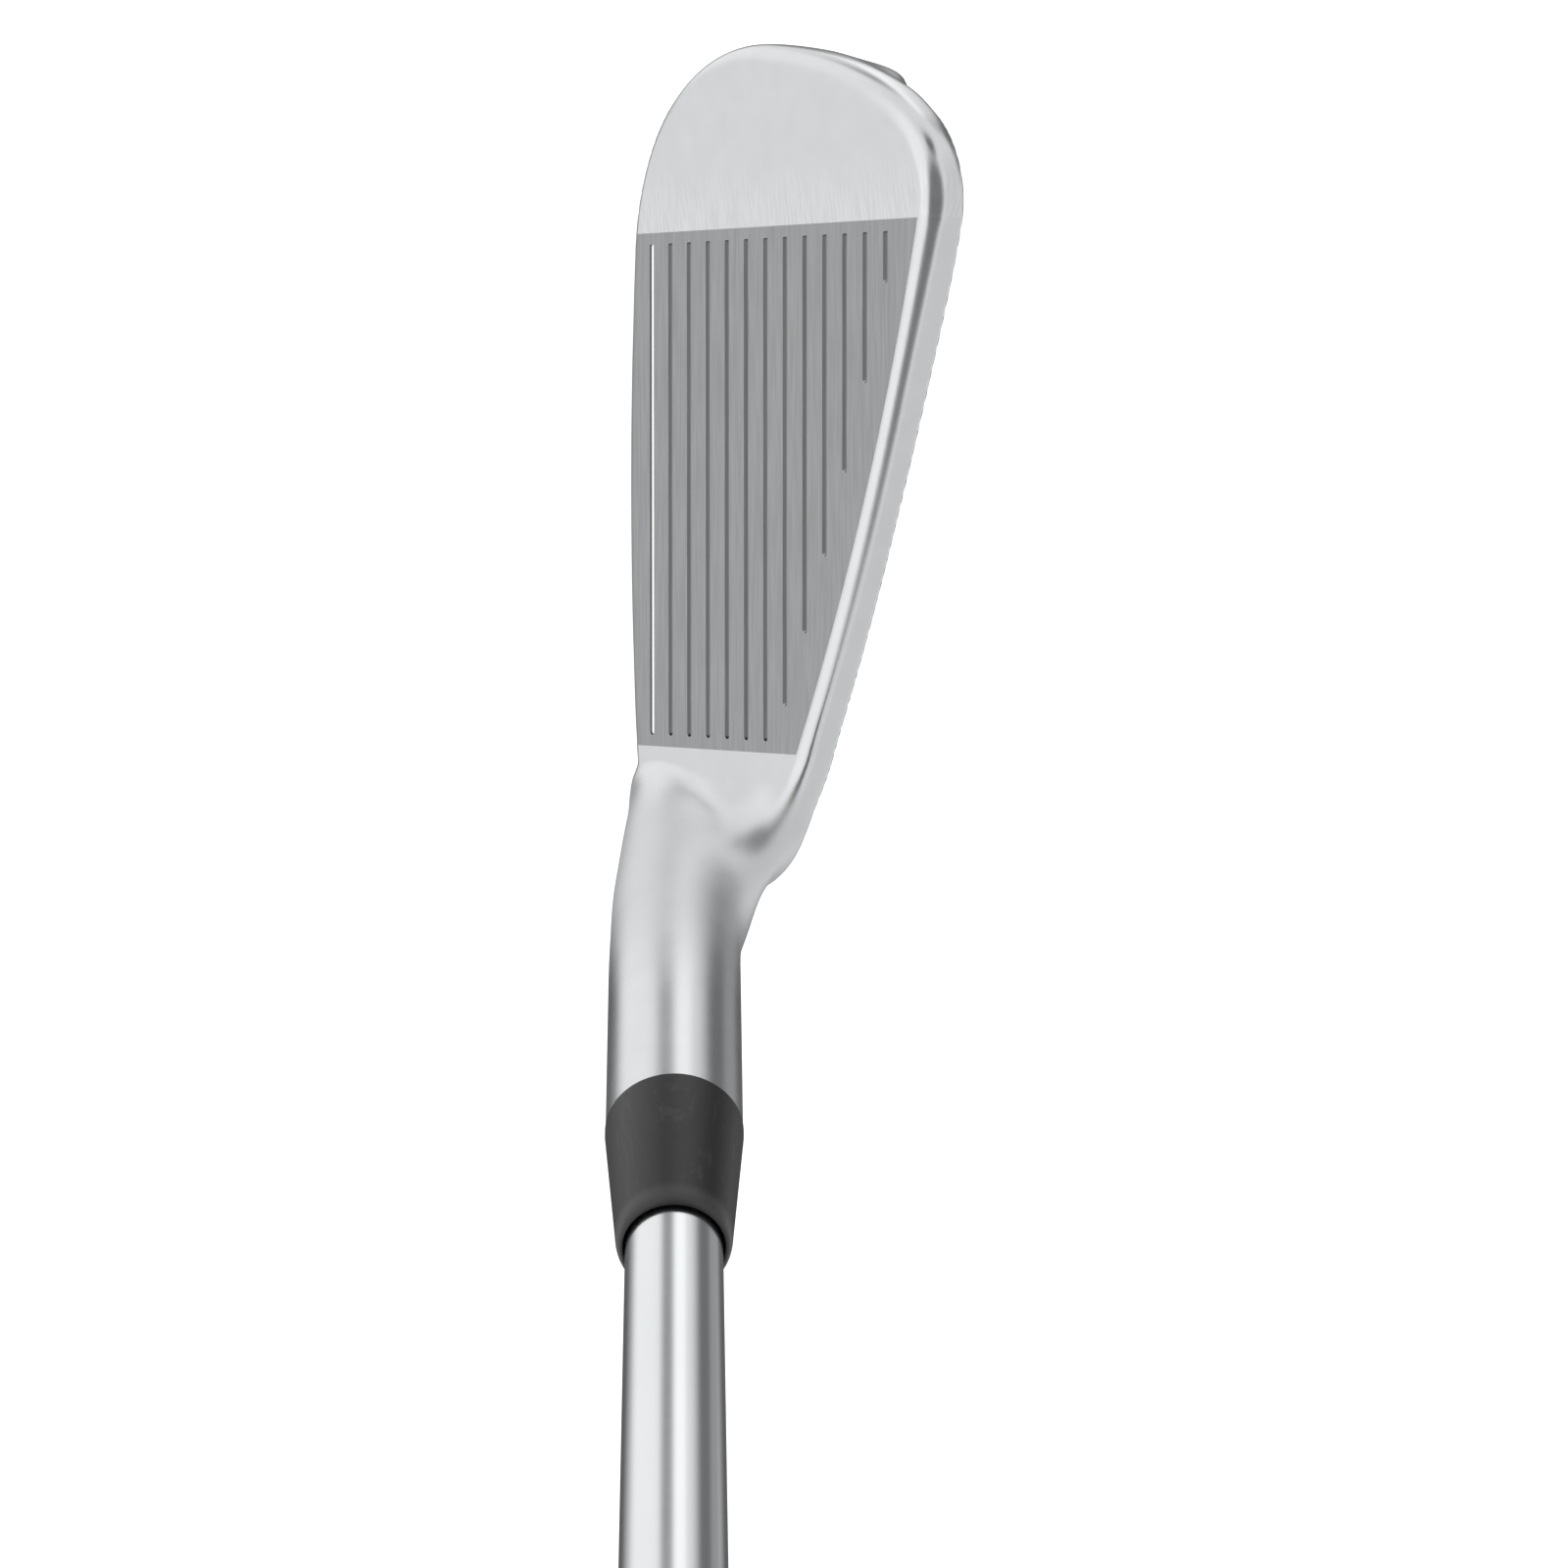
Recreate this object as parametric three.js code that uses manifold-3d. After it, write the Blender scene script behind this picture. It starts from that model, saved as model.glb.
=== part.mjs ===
// A right-handed cavity-back golf iron, standing at address.
//
// Millimetres, +Z up.  +Y runs from the heel to the toe, +X points away from the target, so the
// face looks towards -X and upwards.  The origin is the point of the sole that touches the ground
// below the middle of the face.
//
// Two turned groups hold most pieces.  Inside the face group x is heel to toe, y is up the face
// and z is the depth behind the face.  Inside the shaft group y runs up the shaft from the ground.

import * as THREE from 'three';
import { mergeVertices } from 'three/addons/utils/BufferGeometryUtils.js';
import { ConvexGeometry } from 'three/addons/geometries/ConvexGeometry.js';
import Module from 'manifold-3d';

const wasm = await Module();
wasm.setup();

const DEG = Math.PI / 180;
const FIT = 0.1; // clearance between pieces that sit in one another
const SEAM = 0.2; // clearance all round the face plate
const OVERSHOOT = 40; // how far a cutting solid runs past the body
const BELOW_GROUND = -14; // where the face outline closes, under the sole

// Club and head angles
const LOFT = 34 * DEG;
const LIE = 63 * DEG;
const CLUB_LENGTH = 940;

// Leading edge, where the face plane starts
const LEAD_X = -9;
const LEAD_Z = 2.9;

// Flat part of the face, measured from the leading edge: x is heel to toe, y is up the face
const TOE_ARC = { x: 24.3, y: 21.4, radius: 19.8 };
const TOP_CORNER_ARC = { x: 28.9, y: 43.4, radius: 9 };
const TOE_ARC_START = -65 * DEG;
const TOE_LEAN = 15.5 * DEG;
const TOP_ARC_END = 105 * DEG;
const TOP_CONTROL = new THREE.Vector2(-1.7, 44.7);
const TOP_HEEL = new THREE.Vector2(-27.6, 31);
const SHOULDER_CONTROL = new THREE.Vector2(-33.5, 27.9);
const SHOULDER_END = new THREE.Vector2(-38, 20);
const EDGE_RADIUS = 1.6;

// Depths behind the face
const TOP_BAR_DEPTH = 4.3;
const FLANGE_DEPTH = 17.5;
const BACK_SLOPE = 16 * DEG; // the flange and the top bar rise towards the toe
const TOP_BAR_FOOT = 33.6; // where the top bar starts to thicken, square to that slope
const FLANGE_TOP = 14.1; // top of the full-depth flange, square to that slope

// Sole
const LEAD_ROUND = 1.6;
const SOLE_CAMBER = 36; // radius of the sole from front to back
const SOLE_FLAT = { x: 2, y: 8 }; // half sizes of the flat that rests on the ground
const ROCKER_KNEE = { y: 24, z: 0.6 }; // the nearly straight stretch ends here
const ROCKER_CONTROL = { y: 40, z: 2.2 };
const ROCKER_END = { y: 58, z: 20 };

// Hosel, along the shaft axis from the ground
const AXIS_X = -4.3;
const AXIS_Y = -31.65;
const HOSEL_RADIUS = 6.8;
const HOSEL_TOP = 69.8;
const BORE_BOTTOM = 34;
const BORE_RADIUS = 4.95;

// Face plate
const PLATE_DEPTH = 2.6;
const LEDGE = 2.2;
const PLATE_TOE = 27.3;
const PLATE_HEEL = -27.6;
const PLATE_LOW_MIDDLE = -0.3;
const PLATE_LOW_END = 1.9;
const GROOVE_COUNT = 13;
const GROOVE_PITCH = 3.556;
const GROOVE_FIRST = 4;
const GROOVE_WIDTH = 0.9;
const GROOVE_CUT = 0.45;
const GROOVE_TOE = 26.4;
const GROOVE_HEEL = -26.5;
const GROOVE_TOP_MARGIN = 4.2;
const PAINT_DEPTH = 0.25;

// Cavity and what it holds
const CAVITY_FLOOR = 3;
const DAMPER_DEPTH = 3;
const TAPE_DEPTH = 0.4;
const BADGE_DEPTH = 1.2;
const BAR_DEPTH = 0.6;

// Weights
const TOE_WEIGHT = { up: 13.5, depth: 10.5, radius: 3, head: 41.2, length: 10 };
const TIP_WEIGHT_LENGTH = 20;
const CORK_LENGTH = 8;
const SOLE_WEIGHT = { heel: -12, toe: 20, front: 6.5, back: 13, low: 9 };

// Ferrule
const FERRULE_LENGTH = 20.6;
const FERRULE_MOUTH_RADIUS = 5.75;
const FERRULE_LIP = 0.8;

// Shaft: a tapered tip, then steps up to the butt
const TIP_STOP = BORE_BOTTOM + 1;
const TIP_RADIUS = 4.5;
const SHAFT_FERRULE_RADIUS = 4.72; // where it leaves the ferrule
const TAPER_END_RADIUS = 5.15;
const SHAFT_WALL = 0.45;
const STEP_START = 215;
const STEP_PITCH = 38;
const STEP_LENGTH = 1;
const STEP_COUNT = 12;
const FIRST_STEP_RADIUS = 5.3;
const BUTT_RADIUS = 7.62;

// Grip and the layers round the butt of the shaft
const LAYER_GAP = 0.05;
const GRIP_MOUTH = CLUB_LENGTH - 267;
const CAP_LENGTH = 6;
const CAP_WALL = 4;
const GRIP_END = CLUB_LENGTH - CAP_LENGTH;
const SHAFT_BUTT = CLUB_LENGTH - CAP_WALL - FIT;
const BAND = { from: 637, to: 667, depth: 0.12 };
const GRIP_MOUTH_RADIUS = 9;
const GRIP_BUTT_RADIUS = 13.3;
const GRIP_TAPE_DEPTH = 0.25;
const CAP_RADIUS = 14;
const VENT_RADIUS = 1.6;

const ROUND = 32; // sides of every turned piece, so that nested pieces keep parallel facets

// ---------- frames ----------

const faceFrame = new THREE.Matrix4().makeBasis(
  new THREE.Vector3(0, 1, 0),
  new THREE.Vector3(Math.sin(LOFT), 0, Math.cos(LOFT)),
  new THREE.Vector3(Math.cos(LOFT), 0, -Math.sin(LOFT)),
);
faceFrame.setPosition(LEAD_X, 0, LEAD_Z);

const shaftFrame = new THREE.Matrix4().makeBasis(
  new THREE.Vector3(1, 0, 0),
  new THREE.Vector3(0, -Math.cos(LIE), Math.sin(LIE)),
  new THREE.Vector3(0, -Math.sin(LIE), -Math.cos(LIE)),
);
shaftFrame.setPosition(AXIS_X, AXIS_Y, 0);

// ---------- solids ----------

function toSolid(geometry) {
  const bare = geometry.clone();
  bare.deleteAttribute('normal');
  bare.deleteAttribute('uv');
  const merged = mergeVertices(bare, 1e-4);
  return new wasm.Manifold(new wasm.Mesh({
    numProp: 3,
    vertProperties: new Float32Array(merged.attributes.position.array),
    triVerts: new Uint32Array(merged.index.array),
  }));
}

function toGeometry(solid) {
  const mesh = solid.getMesh();
  const geometry = new THREE.BufferGeometry();
  geometry.setAttribute('position', new THREE.BufferAttribute(mesh.vertProperties, 3));
  geometry.setIndex(new THREE.BufferAttribute(mesh.triVerts, 1));
  geometry.computeVertexNormals();
  return geometry;
}

function prism(shape, from, to, curveSegments = 6) {
  const geometry = new THREE.ExtrudeGeometry(shape, {
    depth: to - from,
    bevelEnabled: false,
    curveSegments,
  });
  geometry.translate(0, 0, from);
  return geometry;
}

function turned(profile) {
  const points = profile.map(([radius, along]) => new THREE.Vector2(radius, along));
  return new THREE.LatheGeometry(points, ROUND);
}

// A tube's closed profile is its outer wall going up and its inner wall coming down.
function tube(outer, inner) {
  const profile = [...outer, ...[...inner].reverse()];
  return turned([...profile, profile[0]]);
}

function inFaceFrame(geometry) {
  return geometry.clone().applyMatrix4(faceFrame);
}

function inShaftFrame(geometry) {
  return geometry.clone().applyMatrix4(shaftFrame);
}

// A polygon whose corners are rounded by quadratic curves.  Each curve starts reach away from its
// corner, or a little under half-way along a short side.
function roundedPolygon(corners, reach) {
  const points = corners.map(([x, y]) => new THREE.Vector2(x, y));
  const towards = (a, b) => {
    const side = b.clone().sub(a);
    return side.setLength(Math.min(reach, 0.45 * side.length())).add(a);
  };
  const shape = new THREE.Shape();
  points.forEach((corner, i) => {
    const before = towards(corner, points[(i + points.length - 1) % points.length]);
    const after = towards(corner, points[(i + 1) % points.length]);
    if (i === 0) shape.moveTo(before.x, before.y);
    else shape.lineTo(before.x, before.y);
    shape.quadraticCurveTo(corner.x, corner.y, after.x, after.y);
  });
  shape.closePath();
  return shape;
}

// ---------- the face outline and its top edge ----------

const topStart = new THREE.Vector2(
  TOP_CORNER_ARC.x + TOP_CORNER_ARC.radius * Math.cos(TOP_ARC_END),
  TOP_CORNER_ARC.y + TOP_CORNER_ARC.radius * Math.sin(TOP_ARC_END),
);
const topEdge = new THREE.QuadraticBezierCurve(topStart, TOP_CONTROL, TOP_HEEL);

// The outline runs below the ground, where the sole cuts it.  The toe arc leaves on its tangent.
function faceOutline() {
  const shape = new THREE.Shape();
  const drop = TOE_ARC.y + TOE_ARC.radius * Math.sin(TOE_ARC_START) - BELOW_GROUND;
  const tangentX = TOE_ARC.x + TOE_ARC.radius * Math.cos(TOE_ARC_START)
    + drop * Math.tan(TOE_ARC_START);
  shape.moveTo(SHOULDER_END.x, BELOW_GROUND);
  shape.lineTo(tangentX, BELOW_GROUND);
  shape.absarc(TOE_ARC.x, TOE_ARC.y, TOE_ARC.radius, TOE_ARC_START, TOE_LEAN, false);
  shape.absarc(TOP_CORNER_ARC.x, TOP_CORNER_ARC.y, TOP_CORNER_ARC.radius, TOE_LEAN, TOP_ARC_END, false);
  shape.quadraticCurveTo(TOP_CONTROL.x, TOP_CONTROL.y, TOP_HEEL.x, TOP_HEEL.y);
  shape.quadraticCurveTo(SHOULDER_CONTROL.x, SHOULDER_CONTROL.y, SHOULDER_END.x, SHOULDER_END.y);
  shape.closePath();
  return shape;
}

// ---------- head body ----------

function outlineSolid() {
  const geometry = new THREE.ExtrudeGeometry(faceOutline(), {
    depth: OVERSHOOT,
    bevelSize: EDGE_RADIUS,
    bevelThickness: EDGE_RADIUS,
    bevelSegments: 2,
    curveSegments: 9,
  });
  geometry.translate(0, 0, EDGE_RADIUS);
  return toSolid(inFaceFrame(geometry));
}

// An outline drawn across the face group's depth: x is heel to toe, y is the depth.
function acrossDepth(shape, low, high, curveSegments) {
  const geometry = prism(shape, -high, -low, curveSegments);
  return geometry.applyMatrix4(new THREE.Matrix4().makeBasis(
    new THREE.Vector3(1, 0, 0),
    new THREE.Vector3(0, 0, 1),
    new THREE.Vector3(0, -1, 0),
  ));
}

// Side view of the blade: x is the depth behind the face, y is the height up the face.
function depthSolid() {
  const shape = new THREE.Shape();
  shape.moveTo(-OVERSHOOT, -2 * OVERSHOOT);
  shape.lineTo(FLANGE_DEPTH, -2 * OVERSHOOT);
  shape.lineTo(FLANGE_DEPTH, FLANGE_TOP - 2);
  shape.quadraticCurveTo(FLANGE_DEPTH, FLANGE_TOP, FLANGE_DEPTH - 2, FLANGE_TOP + 1);
  shape.lineTo(TOP_BAR_DEPTH + 1, TOP_BAR_FOOT - 1);
  shape.quadraticCurveTo(TOP_BAR_DEPTH, TOP_BAR_FOOT, TOP_BAR_DEPTH, TOP_BAR_FOOT + 2);
  shape.lineTo(TOP_BAR_DEPTH, 2 * OVERSHOOT);
  shape.lineTo(-OVERSHOOT, 2 * OVERSHOOT);
  shape.closePath();
  const geometry = prism(shape, -2 * OVERSHOOT, 2 * OVERSHOOT, 3);
  geometry.applyMatrix4(new THREE.Matrix4().makeBasis(
    new THREE.Vector3(0, 0, 1),
    new THREE.Vector3(0, 1, 0),
    new THREE.Vector3(-1, 0, 0),
  ));
  geometry.rotateZ(BACK_SLOPE);
  return toSolid(inFaceFrame(geometry));
}

// Seen from above, the back of the flange draws in towards the heel.
function heelReliefSolid() {
  const shape = new THREE.Shape();
  shape.moveTo(-2 * OVERSHOOT, -OVERSHOOT);
  shape.lineTo(2 * OVERSHOOT, -OVERSHOOT);
  shape.lineTo(2 * OVERSHOOT, FLANGE_DEPTH + 1);
  shape.lineTo(-12, FLANGE_DEPTH + 1);
  shape.quadraticCurveTo(-34, FLANGE_DEPTH - 1, -40, 5);
  shape.lineTo(-2 * OVERSHOOT, 5);
  shape.closePath();
  return toSolid(inFaceFrame(acrossDepth(shape, -OVERSHOOT, 2 * OVERSHOOT, 6)));
}

// The sole seen from the toe: a cambered bottom with a small flat and a rounded leading edge.
function camberSolid() {
  const camberStart = LEAD_X + LEAD_ROUND;
  const startAngle = -Math.PI / 2 + Math.asin((camberStart + SOLE_FLAT.x) / SOLE_CAMBER);
  const endAngle = -Math.PI / 2 + 38 * DEG;
  const shape = new THREE.Shape();
  shape.moveTo(LEAD_X, LEAD_Z);
  shape.quadraticCurveTo(LEAD_X, 1, camberStart, SOLE_CAMBER * (1 + Math.sin(startAngle)));
  shape.absarc(-SOLE_FLAT.x, SOLE_CAMBER, SOLE_CAMBER, startAngle, -Math.PI / 2, false);
  shape.absarc(SOLE_FLAT.x, SOLE_CAMBER, SOLE_CAMBER, -Math.PI / 2, endAngle, false);
  shape.lineTo(OVERSHOOT, 2 * OVERSHOOT);
  shape.lineTo(LEAD_X, 2 * OVERSHOOT);
  shape.closePath();
  const geometry = prism(shape, -2 * OVERSHOOT, 2 * OVERSHOOT, 8);
  geometry.rotateX(Math.PI / 2);
  return toSolid(geometry);
}

// The sole seen from the front: nearly straight in the middle, rising at the heel and the toe.
function rockerSolid() {
  const easing = (SOLE_FLAT.y + ROCKER_KNEE.y) / 2;
  const shape = new THREE.Shape();
  shape.moveTo(-ROCKER_END.y, ROCKER_END.z);
  shape.quadraticCurveTo(-ROCKER_CONTROL.y, ROCKER_CONTROL.z, -ROCKER_KNEE.y, ROCKER_KNEE.z);
  shape.quadraticCurveTo(-easing, 0, -SOLE_FLAT.y, 0);
  shape.lineTo(SOLE_FLAT.y, 0);
  shape.quadraticCurveTo(easing, 0, ROCKER_KNEE.y, ROCKER_KNEE.z);
  shape.quadraticCurveTo(ROCKER_CONTROL.y, ROCKER_CONTROL.z, ROCKER_END.y, ROCKER_END.z);
  shape.lineTo(ROCKER_END.y, 2 * OVERSHOOT);
  shape.lineTo(-ROCKER_END.y, 2 * OVERSHOOT);
  shape.closePath();
  const geometry = prism(shape, -OVERSHOOT, OVERSHOOT, 5);
  geometry.applyMatrix4(new THREE.Matrix4().makeBasis(
    new THREE.Vector3(0, 1, 0),
    new THREE.Vector3(0, 0, 1),
    new THREE.Vector3(1, 0, 0),
  ));
  return toSolid(geometry);
}

function ringPoints(along, radius) {
  const points = [];
  for (let i = 0; i < ROUND; i += 1) {
    const turn = (i / ROUND) * 2 * Math.PI;
    points.push(new THREE.Vector3(radius * Math.sin(turn), along, radius * Math.cos(turn)));
  }
  return points.map((point) => point.applyMatrix4(shaftFrame));
}

// The neck fills the corner between the heel end of the blade and the foot of the hosel.
function neckSolid() {
  const heel = -26;
  const heelSection = [ // height up the face, depth behind it
    [2, 0.1], [16, 0], [31.2, 0], [32.6, 1.4], [32.6, 3.2], [31.6, 4.2], [22, 8], [12, 13], [7.6, 13.4],
    [2.5, 7], [0, 2.6],
  ];
  const blade = heelSection.map(([up, depth]) => (
    new THREE.Vector3(heel, up, depth).applyMatrix4(faceFrame)
  ));
  const foot = ringPoints(9, HOSEL_RADIUS - 1.2);
  const waist = ringPoints(22, HOSEL_RADIUS);
  return toSolid(new ConvexGeometry([...blade, ...foot, ...waist]));
}

function hoselSolid() {
  return toSolid(inShaftFrame(turned([
    [0, 4], [3.2, 4.6], [5.4, 7], [6.2, 11], [HOSEL_RADIUS, 20],
    [HOSEL_RADIUS, HOSEL_TOP], [0, HOSEL_TOP],
  ])));
}

function boreSolid() {
  return toSolid(inShaftFrame(turned([
    [0, BORE_BOTTOM], [BORE_RADIUS, BORE_BOTTOM],
    [BORE_RADIUS, HOSEL_TOP + 5], [0, HOSEL_TOP + 5],
  ])));
}

// The hollow behind the face, open to the back.
function cavityOutline() {
  return roundedPolygon([
    [-25.5, 16.5], [28, 16.5], [36.5, 25], [34.5, 38.5], [27.5, 46.3], [-1.5, 39], [-25.5, 26.8],
  ], 4);
}

// The opening that the face plate closes leaves a ledge all round for the plate.
function windowOutline() {
  const heel = PLATE_HEEL + LEDGE;
  const toe = PLATE_TOE - LEDGE;
  return roundedPolygon([[heel, 16.5], [toe, 16.5], [toe, 45.4], [-1.5, 39], [heel, 26.8]], 3);
}

function plateOutline(grow) {
  const heel = PLATE_HEEL - grow;
  const toe = PLATE_TOE + grow;
  const shape = new THREE.Shape();
  shape.moveTo(heel, PLATE_LOW_END - grow);
  shape.quadraticCurveTo(0, PLATE_LOW_MIDDLE - grow, toe, PLATE_LOW_END - grow);
  shape.lineTo(toe, topStart.y + grow);
  shape.lineTo(topStart.x, topStart.y + grow);
  shape.quadraticCurveTo(TOP_CONTROL.x, TOP_CONTROL.y + grow, heel, TOP_HEEL.y + grow);
  shape.closePath();
  return shape;
}

function soleWeightOutline(inset) {
  const { heel, toe, front, back } = SOLE_WEIGHT;
  return roundedPolygon([
    [heel + inset, front + inset], [toe - inset, front + inset],
    [toe - inset, back - inset], [heel + inset, back - inset],
  ], 1.5);
}

// A turned piece whose axis runs from the toe into the head.
function toeTurned(profile) {
  const geometry = turned(profile);
  geometry.rotateZ(-Math.PI / 2);
  geometry.translate(0, TOE_WEIGHT.up, TOE_WEIGHT.depth);
  return geometry;
}

function toeWeightPort() {
  const { radius, head, length } = TOE_WEIGHT;
  return toeTurned([
    [0, head - length - FIT], [radius + FIT, head - length - FIT],
    [radius + FIT, head + 10], [0, head + 10],
  ]);
}

function makeHeadBody() {
  const cut = (geometry) => toSolid(inFaceFrame(geometry));
  const blade = outlineSolid()
    .intersect(depthSolid())
    .intersect(heelReliefSolid())
    .intersect(camberSolid())
    .intersect(rockerSolid());
  const solid = blade
    .add(neckSolid())
    .add(hoselSolid())
    .subtract(boreSolid())
    .subtract(cut(prism(cavityOutline(), CAVITY_FLOOR, OVERSHOOT)))
    .subtract(cut(prism(windowOutline(), 0, CAVITY_FLOOR + 1)))
    .subtract(cut(prism(plateOutline(SEAM), -1, PLATE_DEPTH + FIT)))
    .subtract(cut(acrossDepth(soleWeightOutline(0), SOLE_WEIGHT.low, OVERSHOOT, 3)))
    .subtract(cut(toeWeightPort()));
  return toGeometry(solid);
}

// ---------- face plate and its grooves ----------

// Each groove stops at the heel border or below the sloping top edge, whichever comes first.
function grooveHeelEnd(up) {
  const steps = 60;
  let end = GROOVE_HEEL;
  for (let i = 0; i <= steps; i += 1) {
    const edge = topEdge.getPoint(i / steps);
    const along = topEdge.getTangent(i / steps);
    const inner = new THREE.Vector2(edge.x - along.y * GROOVE_TOP_MARGIN,
      edge.y + along.x * GROOVE_TOP_MARGIN);
    if (inner.y >= up) end = Math.max(GROOVE_HEEL, inner.x);
  }
  return end;
}

function grooveOutline(index, inset) {
  const up = GROOVE_FIRST + index * GROOVE_PITCH;
  const radius = GROOVE_WIDTH / 2 - inset;
  const heel = grooveHeelEnd(up) + GROOVE_WIDTH / 2;
  const toe = GROOVE_TOE - GROOVE_WIDTH / 2;
  const shape = new THREE.Shape();
  shape.absarc(toe, up, radius, -Math.PI / 2, Math.PI / 2, false);
  shape.absarc(heel, up, radius, Math.PI / 2, 1.5 * Math.PI, false);
  shape.closePath();
  return shape;
}

function makeFacePlate() {
  let solid = toSolid(prism(plateOutline(0), 0, PLATE_DEPTH, 10));
  for (let i = 0; i < GROOVE_COUNT; i += 1) {
    solid = solid.subtract(toSolid(prism(grooveOutline(i, 0), -1, GROOVE_CUT, 3)));
  }
  return toGeometry(solid);
}

function makeGroovePaint() {
  return prism(grooveOutline(0, 0.05), GROOVE_CUT - PAINT_DEPTH - 0.05, GROOVE_CUT - 0.05, 3);
}

// ---------- what the cavity holds ----------

const stackStart = CAVITY_FLOOR + FIT;
const tapeStart = stackStart + DAMPER_DEPTH + FIT;
const badgeStart = tapeStart + TAPE_DEPTH + FIT;
const barStart = badgeStart + BADGE_DEPTH + FIT;

function badgeOutline(inset) {
  return roundedPolygon([
    [-23 + inset, 17.2 + inset], [25 - inset, 17.2 + inset], [32 - inset, 24.6],
    [30 - inset, 33 - inset], [-1, 31 - inset], [-23 + inset, 24 - inset],
  ], 3);
}

function makeDamper() {
  return prism(badgeOutline(0.6), stackStart, stackStart + DAMPER_DEPTH);
}

function makeBadgeTape() {
  return prism(badgeOutline(0.9), tapeStart, tapeStart + TAPE_DEPTH);
}

function makeBadgePlate() {
  return prism(badgeOutline(0), badgeStart, badgeStart + BADGE_DEPTH);
}

function makeBadgeBar() {
  const outline = roundedPolygon([[-17, 20.4], [24, 20.4], [27.4, 24], [-17, 22.6]], 0.7);
  return prism(outline, barStart, barStart + BAR_DEPTH, 3);
}

// ---------- weights ----------

function makeToeWeight() {
  const { radius, head, length } = TOE_WEIGHT;
  const body = toSolid(toeTurned([
    [0, head - length], [radius - 0.5, head - length], [radius, head - length + 0.5],
    [radius, head - 0.4], [radius - 0.4, head], [0, head],
  ]));
  const socket = new THREE.CylinderGeometry(1.7, 1.7, 5, 6);
  socket.rotateZ(-Math.PI / 2);
  socket.translate(head, TOE_WEIGHT.up, TOE_WEIGHT.depth);
  return toGeometry(body.subtract(toSolid(socket)));
}

function makeSoleWeight() {
  const top = 16.2;
  return acrossDepth(soleWeightOutline(FIT), SOLE_WEIGHT.low + FIT, top, 3);
}

function makeTipWeight() {
  const radius = TIP_RADIUS - SHAFT_WALL - FIT;
  const foot = TIP_STOP + 1;
  return turned([
    [0, foot], [radius - 0.4, foot], [radius, foot + 0.4],
    [radius, foot + TIP_WEIGHT_LENGTH], [0, foot + TIP_WEIGHT_LENGTH],
  ]);
}

// The cork keeps the tip weight and the glue in the bottom of the shaft.
function makeTipCork() {
  const radius = TIP_RADIUS - SHAFT_WALL - FIT;
  const foot = TIP_STOP + 1 + TIP_WEIGHT_LENGTH + FIT;
  return turned([[0, foot], [radius, foot], [radius - 0.2, foot + CORK_LENGTH], [0, foot + CORK_LENGTH]]);
}

// ---------- hosel joint ----------

function makeEpoxy() {
  const inside = TIP_RADIUS + 0.27;
  const outside = BORE_RADIUS - 0.03;
  return tube([[outside, TIP_STOP + 1], [outside, HOSEL_TOP - 1]], [[inside, TIP_STOP + 1],
    [inside, HOSEL_TOP - 1]]);
}

function makeFerrule() {
  const foot = HOSEL_TOP + FIT;
  const mouth = HOSEL_TOP + FERRULE_LENGTH;
  const bore = SHAFT_FERRULE_RADIUS + FIT;
  const outer = [
    [HOSEL_RADIUS - 0.05, foot], [HOSEL_RADIUS - 0.1, foot + 3], [FERRULE_MOUTH_RADIUS + 0.1, mouth - 1.6],
    [FERRULE_MOUTH_RADIUS - 0.15, mouth - 0.6], [FERRULE_MOUTH_RADIUS - 0.5, mouth - 0.1],
    [bore + FERRULE_LIP - 0.3, mouth],
  ];
  const inner = [[bore, foot], [bore, mouth - 1.2], [bore + 0.25, mouth - 0.3]];
  return tube(outer, inner);
}

// ---------- shaft ----------

function shaftRadius(along) {
  const ferruleMouth = HOSEL_TOP + FERRULE_LENGTH;
  if (along < ferruleMouth) {
    const share = (along - TIP_STOP) / (ferruleMouth - TIP_STOP);
    return THREE.MathUtils.lerp(TIP_RADIUS, SHAFT_FERRULE_RADIUS, share);
  }
  const share = (along - ferruleMouth) / (STEP_START - ferruleMouth);
  return THREE.MathUtils.lerp(SHAFT_FERRULE_RADIUS, TAPER_END_RADIUS, share);
}

// The tapered tip is followed by short steps up to the butt.
function makeShaft() {
  const rise = (BUTT_RADIUS - FIRST_STEP_RADIUS) / (STEP_COUNT - 1);
  const outer = [TIP_STOP, HOSEL_TOP, HOSEL_TOP + FERRULE_LENGTH, STEP_START]
    .map((along) => [shaftRadius(along), along]);
  for (let i = 0; i < STEP_COUNT; i += 1) {
    const radius = FIRST_STEP_RADIUS + i * rise;
    const from = STEP_START + i * STEP_PITCH;
    const to = i === STEP_COUNT - 1 ? SHAFT_BUTT : from + STEP_PITCH;
    outer.push([radius, from + STEP_LENGTH], [radius, to]);
  }
  const inner = outer.map(([radius, along]) => [radius - SHAFT_WALL, along]);
  return tube(outer, inner);
}

// A sleeve of one radius, from one place on the shaft to another.
function sleeve(inside, depth, from, to) {
  const outside = inside + depth;
  return tube([[outside, from], [outside, to]], [[inside, from], [inside, to]]);
}

function makeShaftBand() {
  return sleeve(BUTT_RADIUS + LAYER_GAP, BAND.depth, BAND.from, BAND.to);
}

// ---------- grip ----------

function makeGripTape() {
  return sleeve(BUTT_RADIUS + LAYER_GAP, GRIP_TAPE_DEPTH, GRIP_MOUTH + 2, GRIP_END - 1);
}

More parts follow.
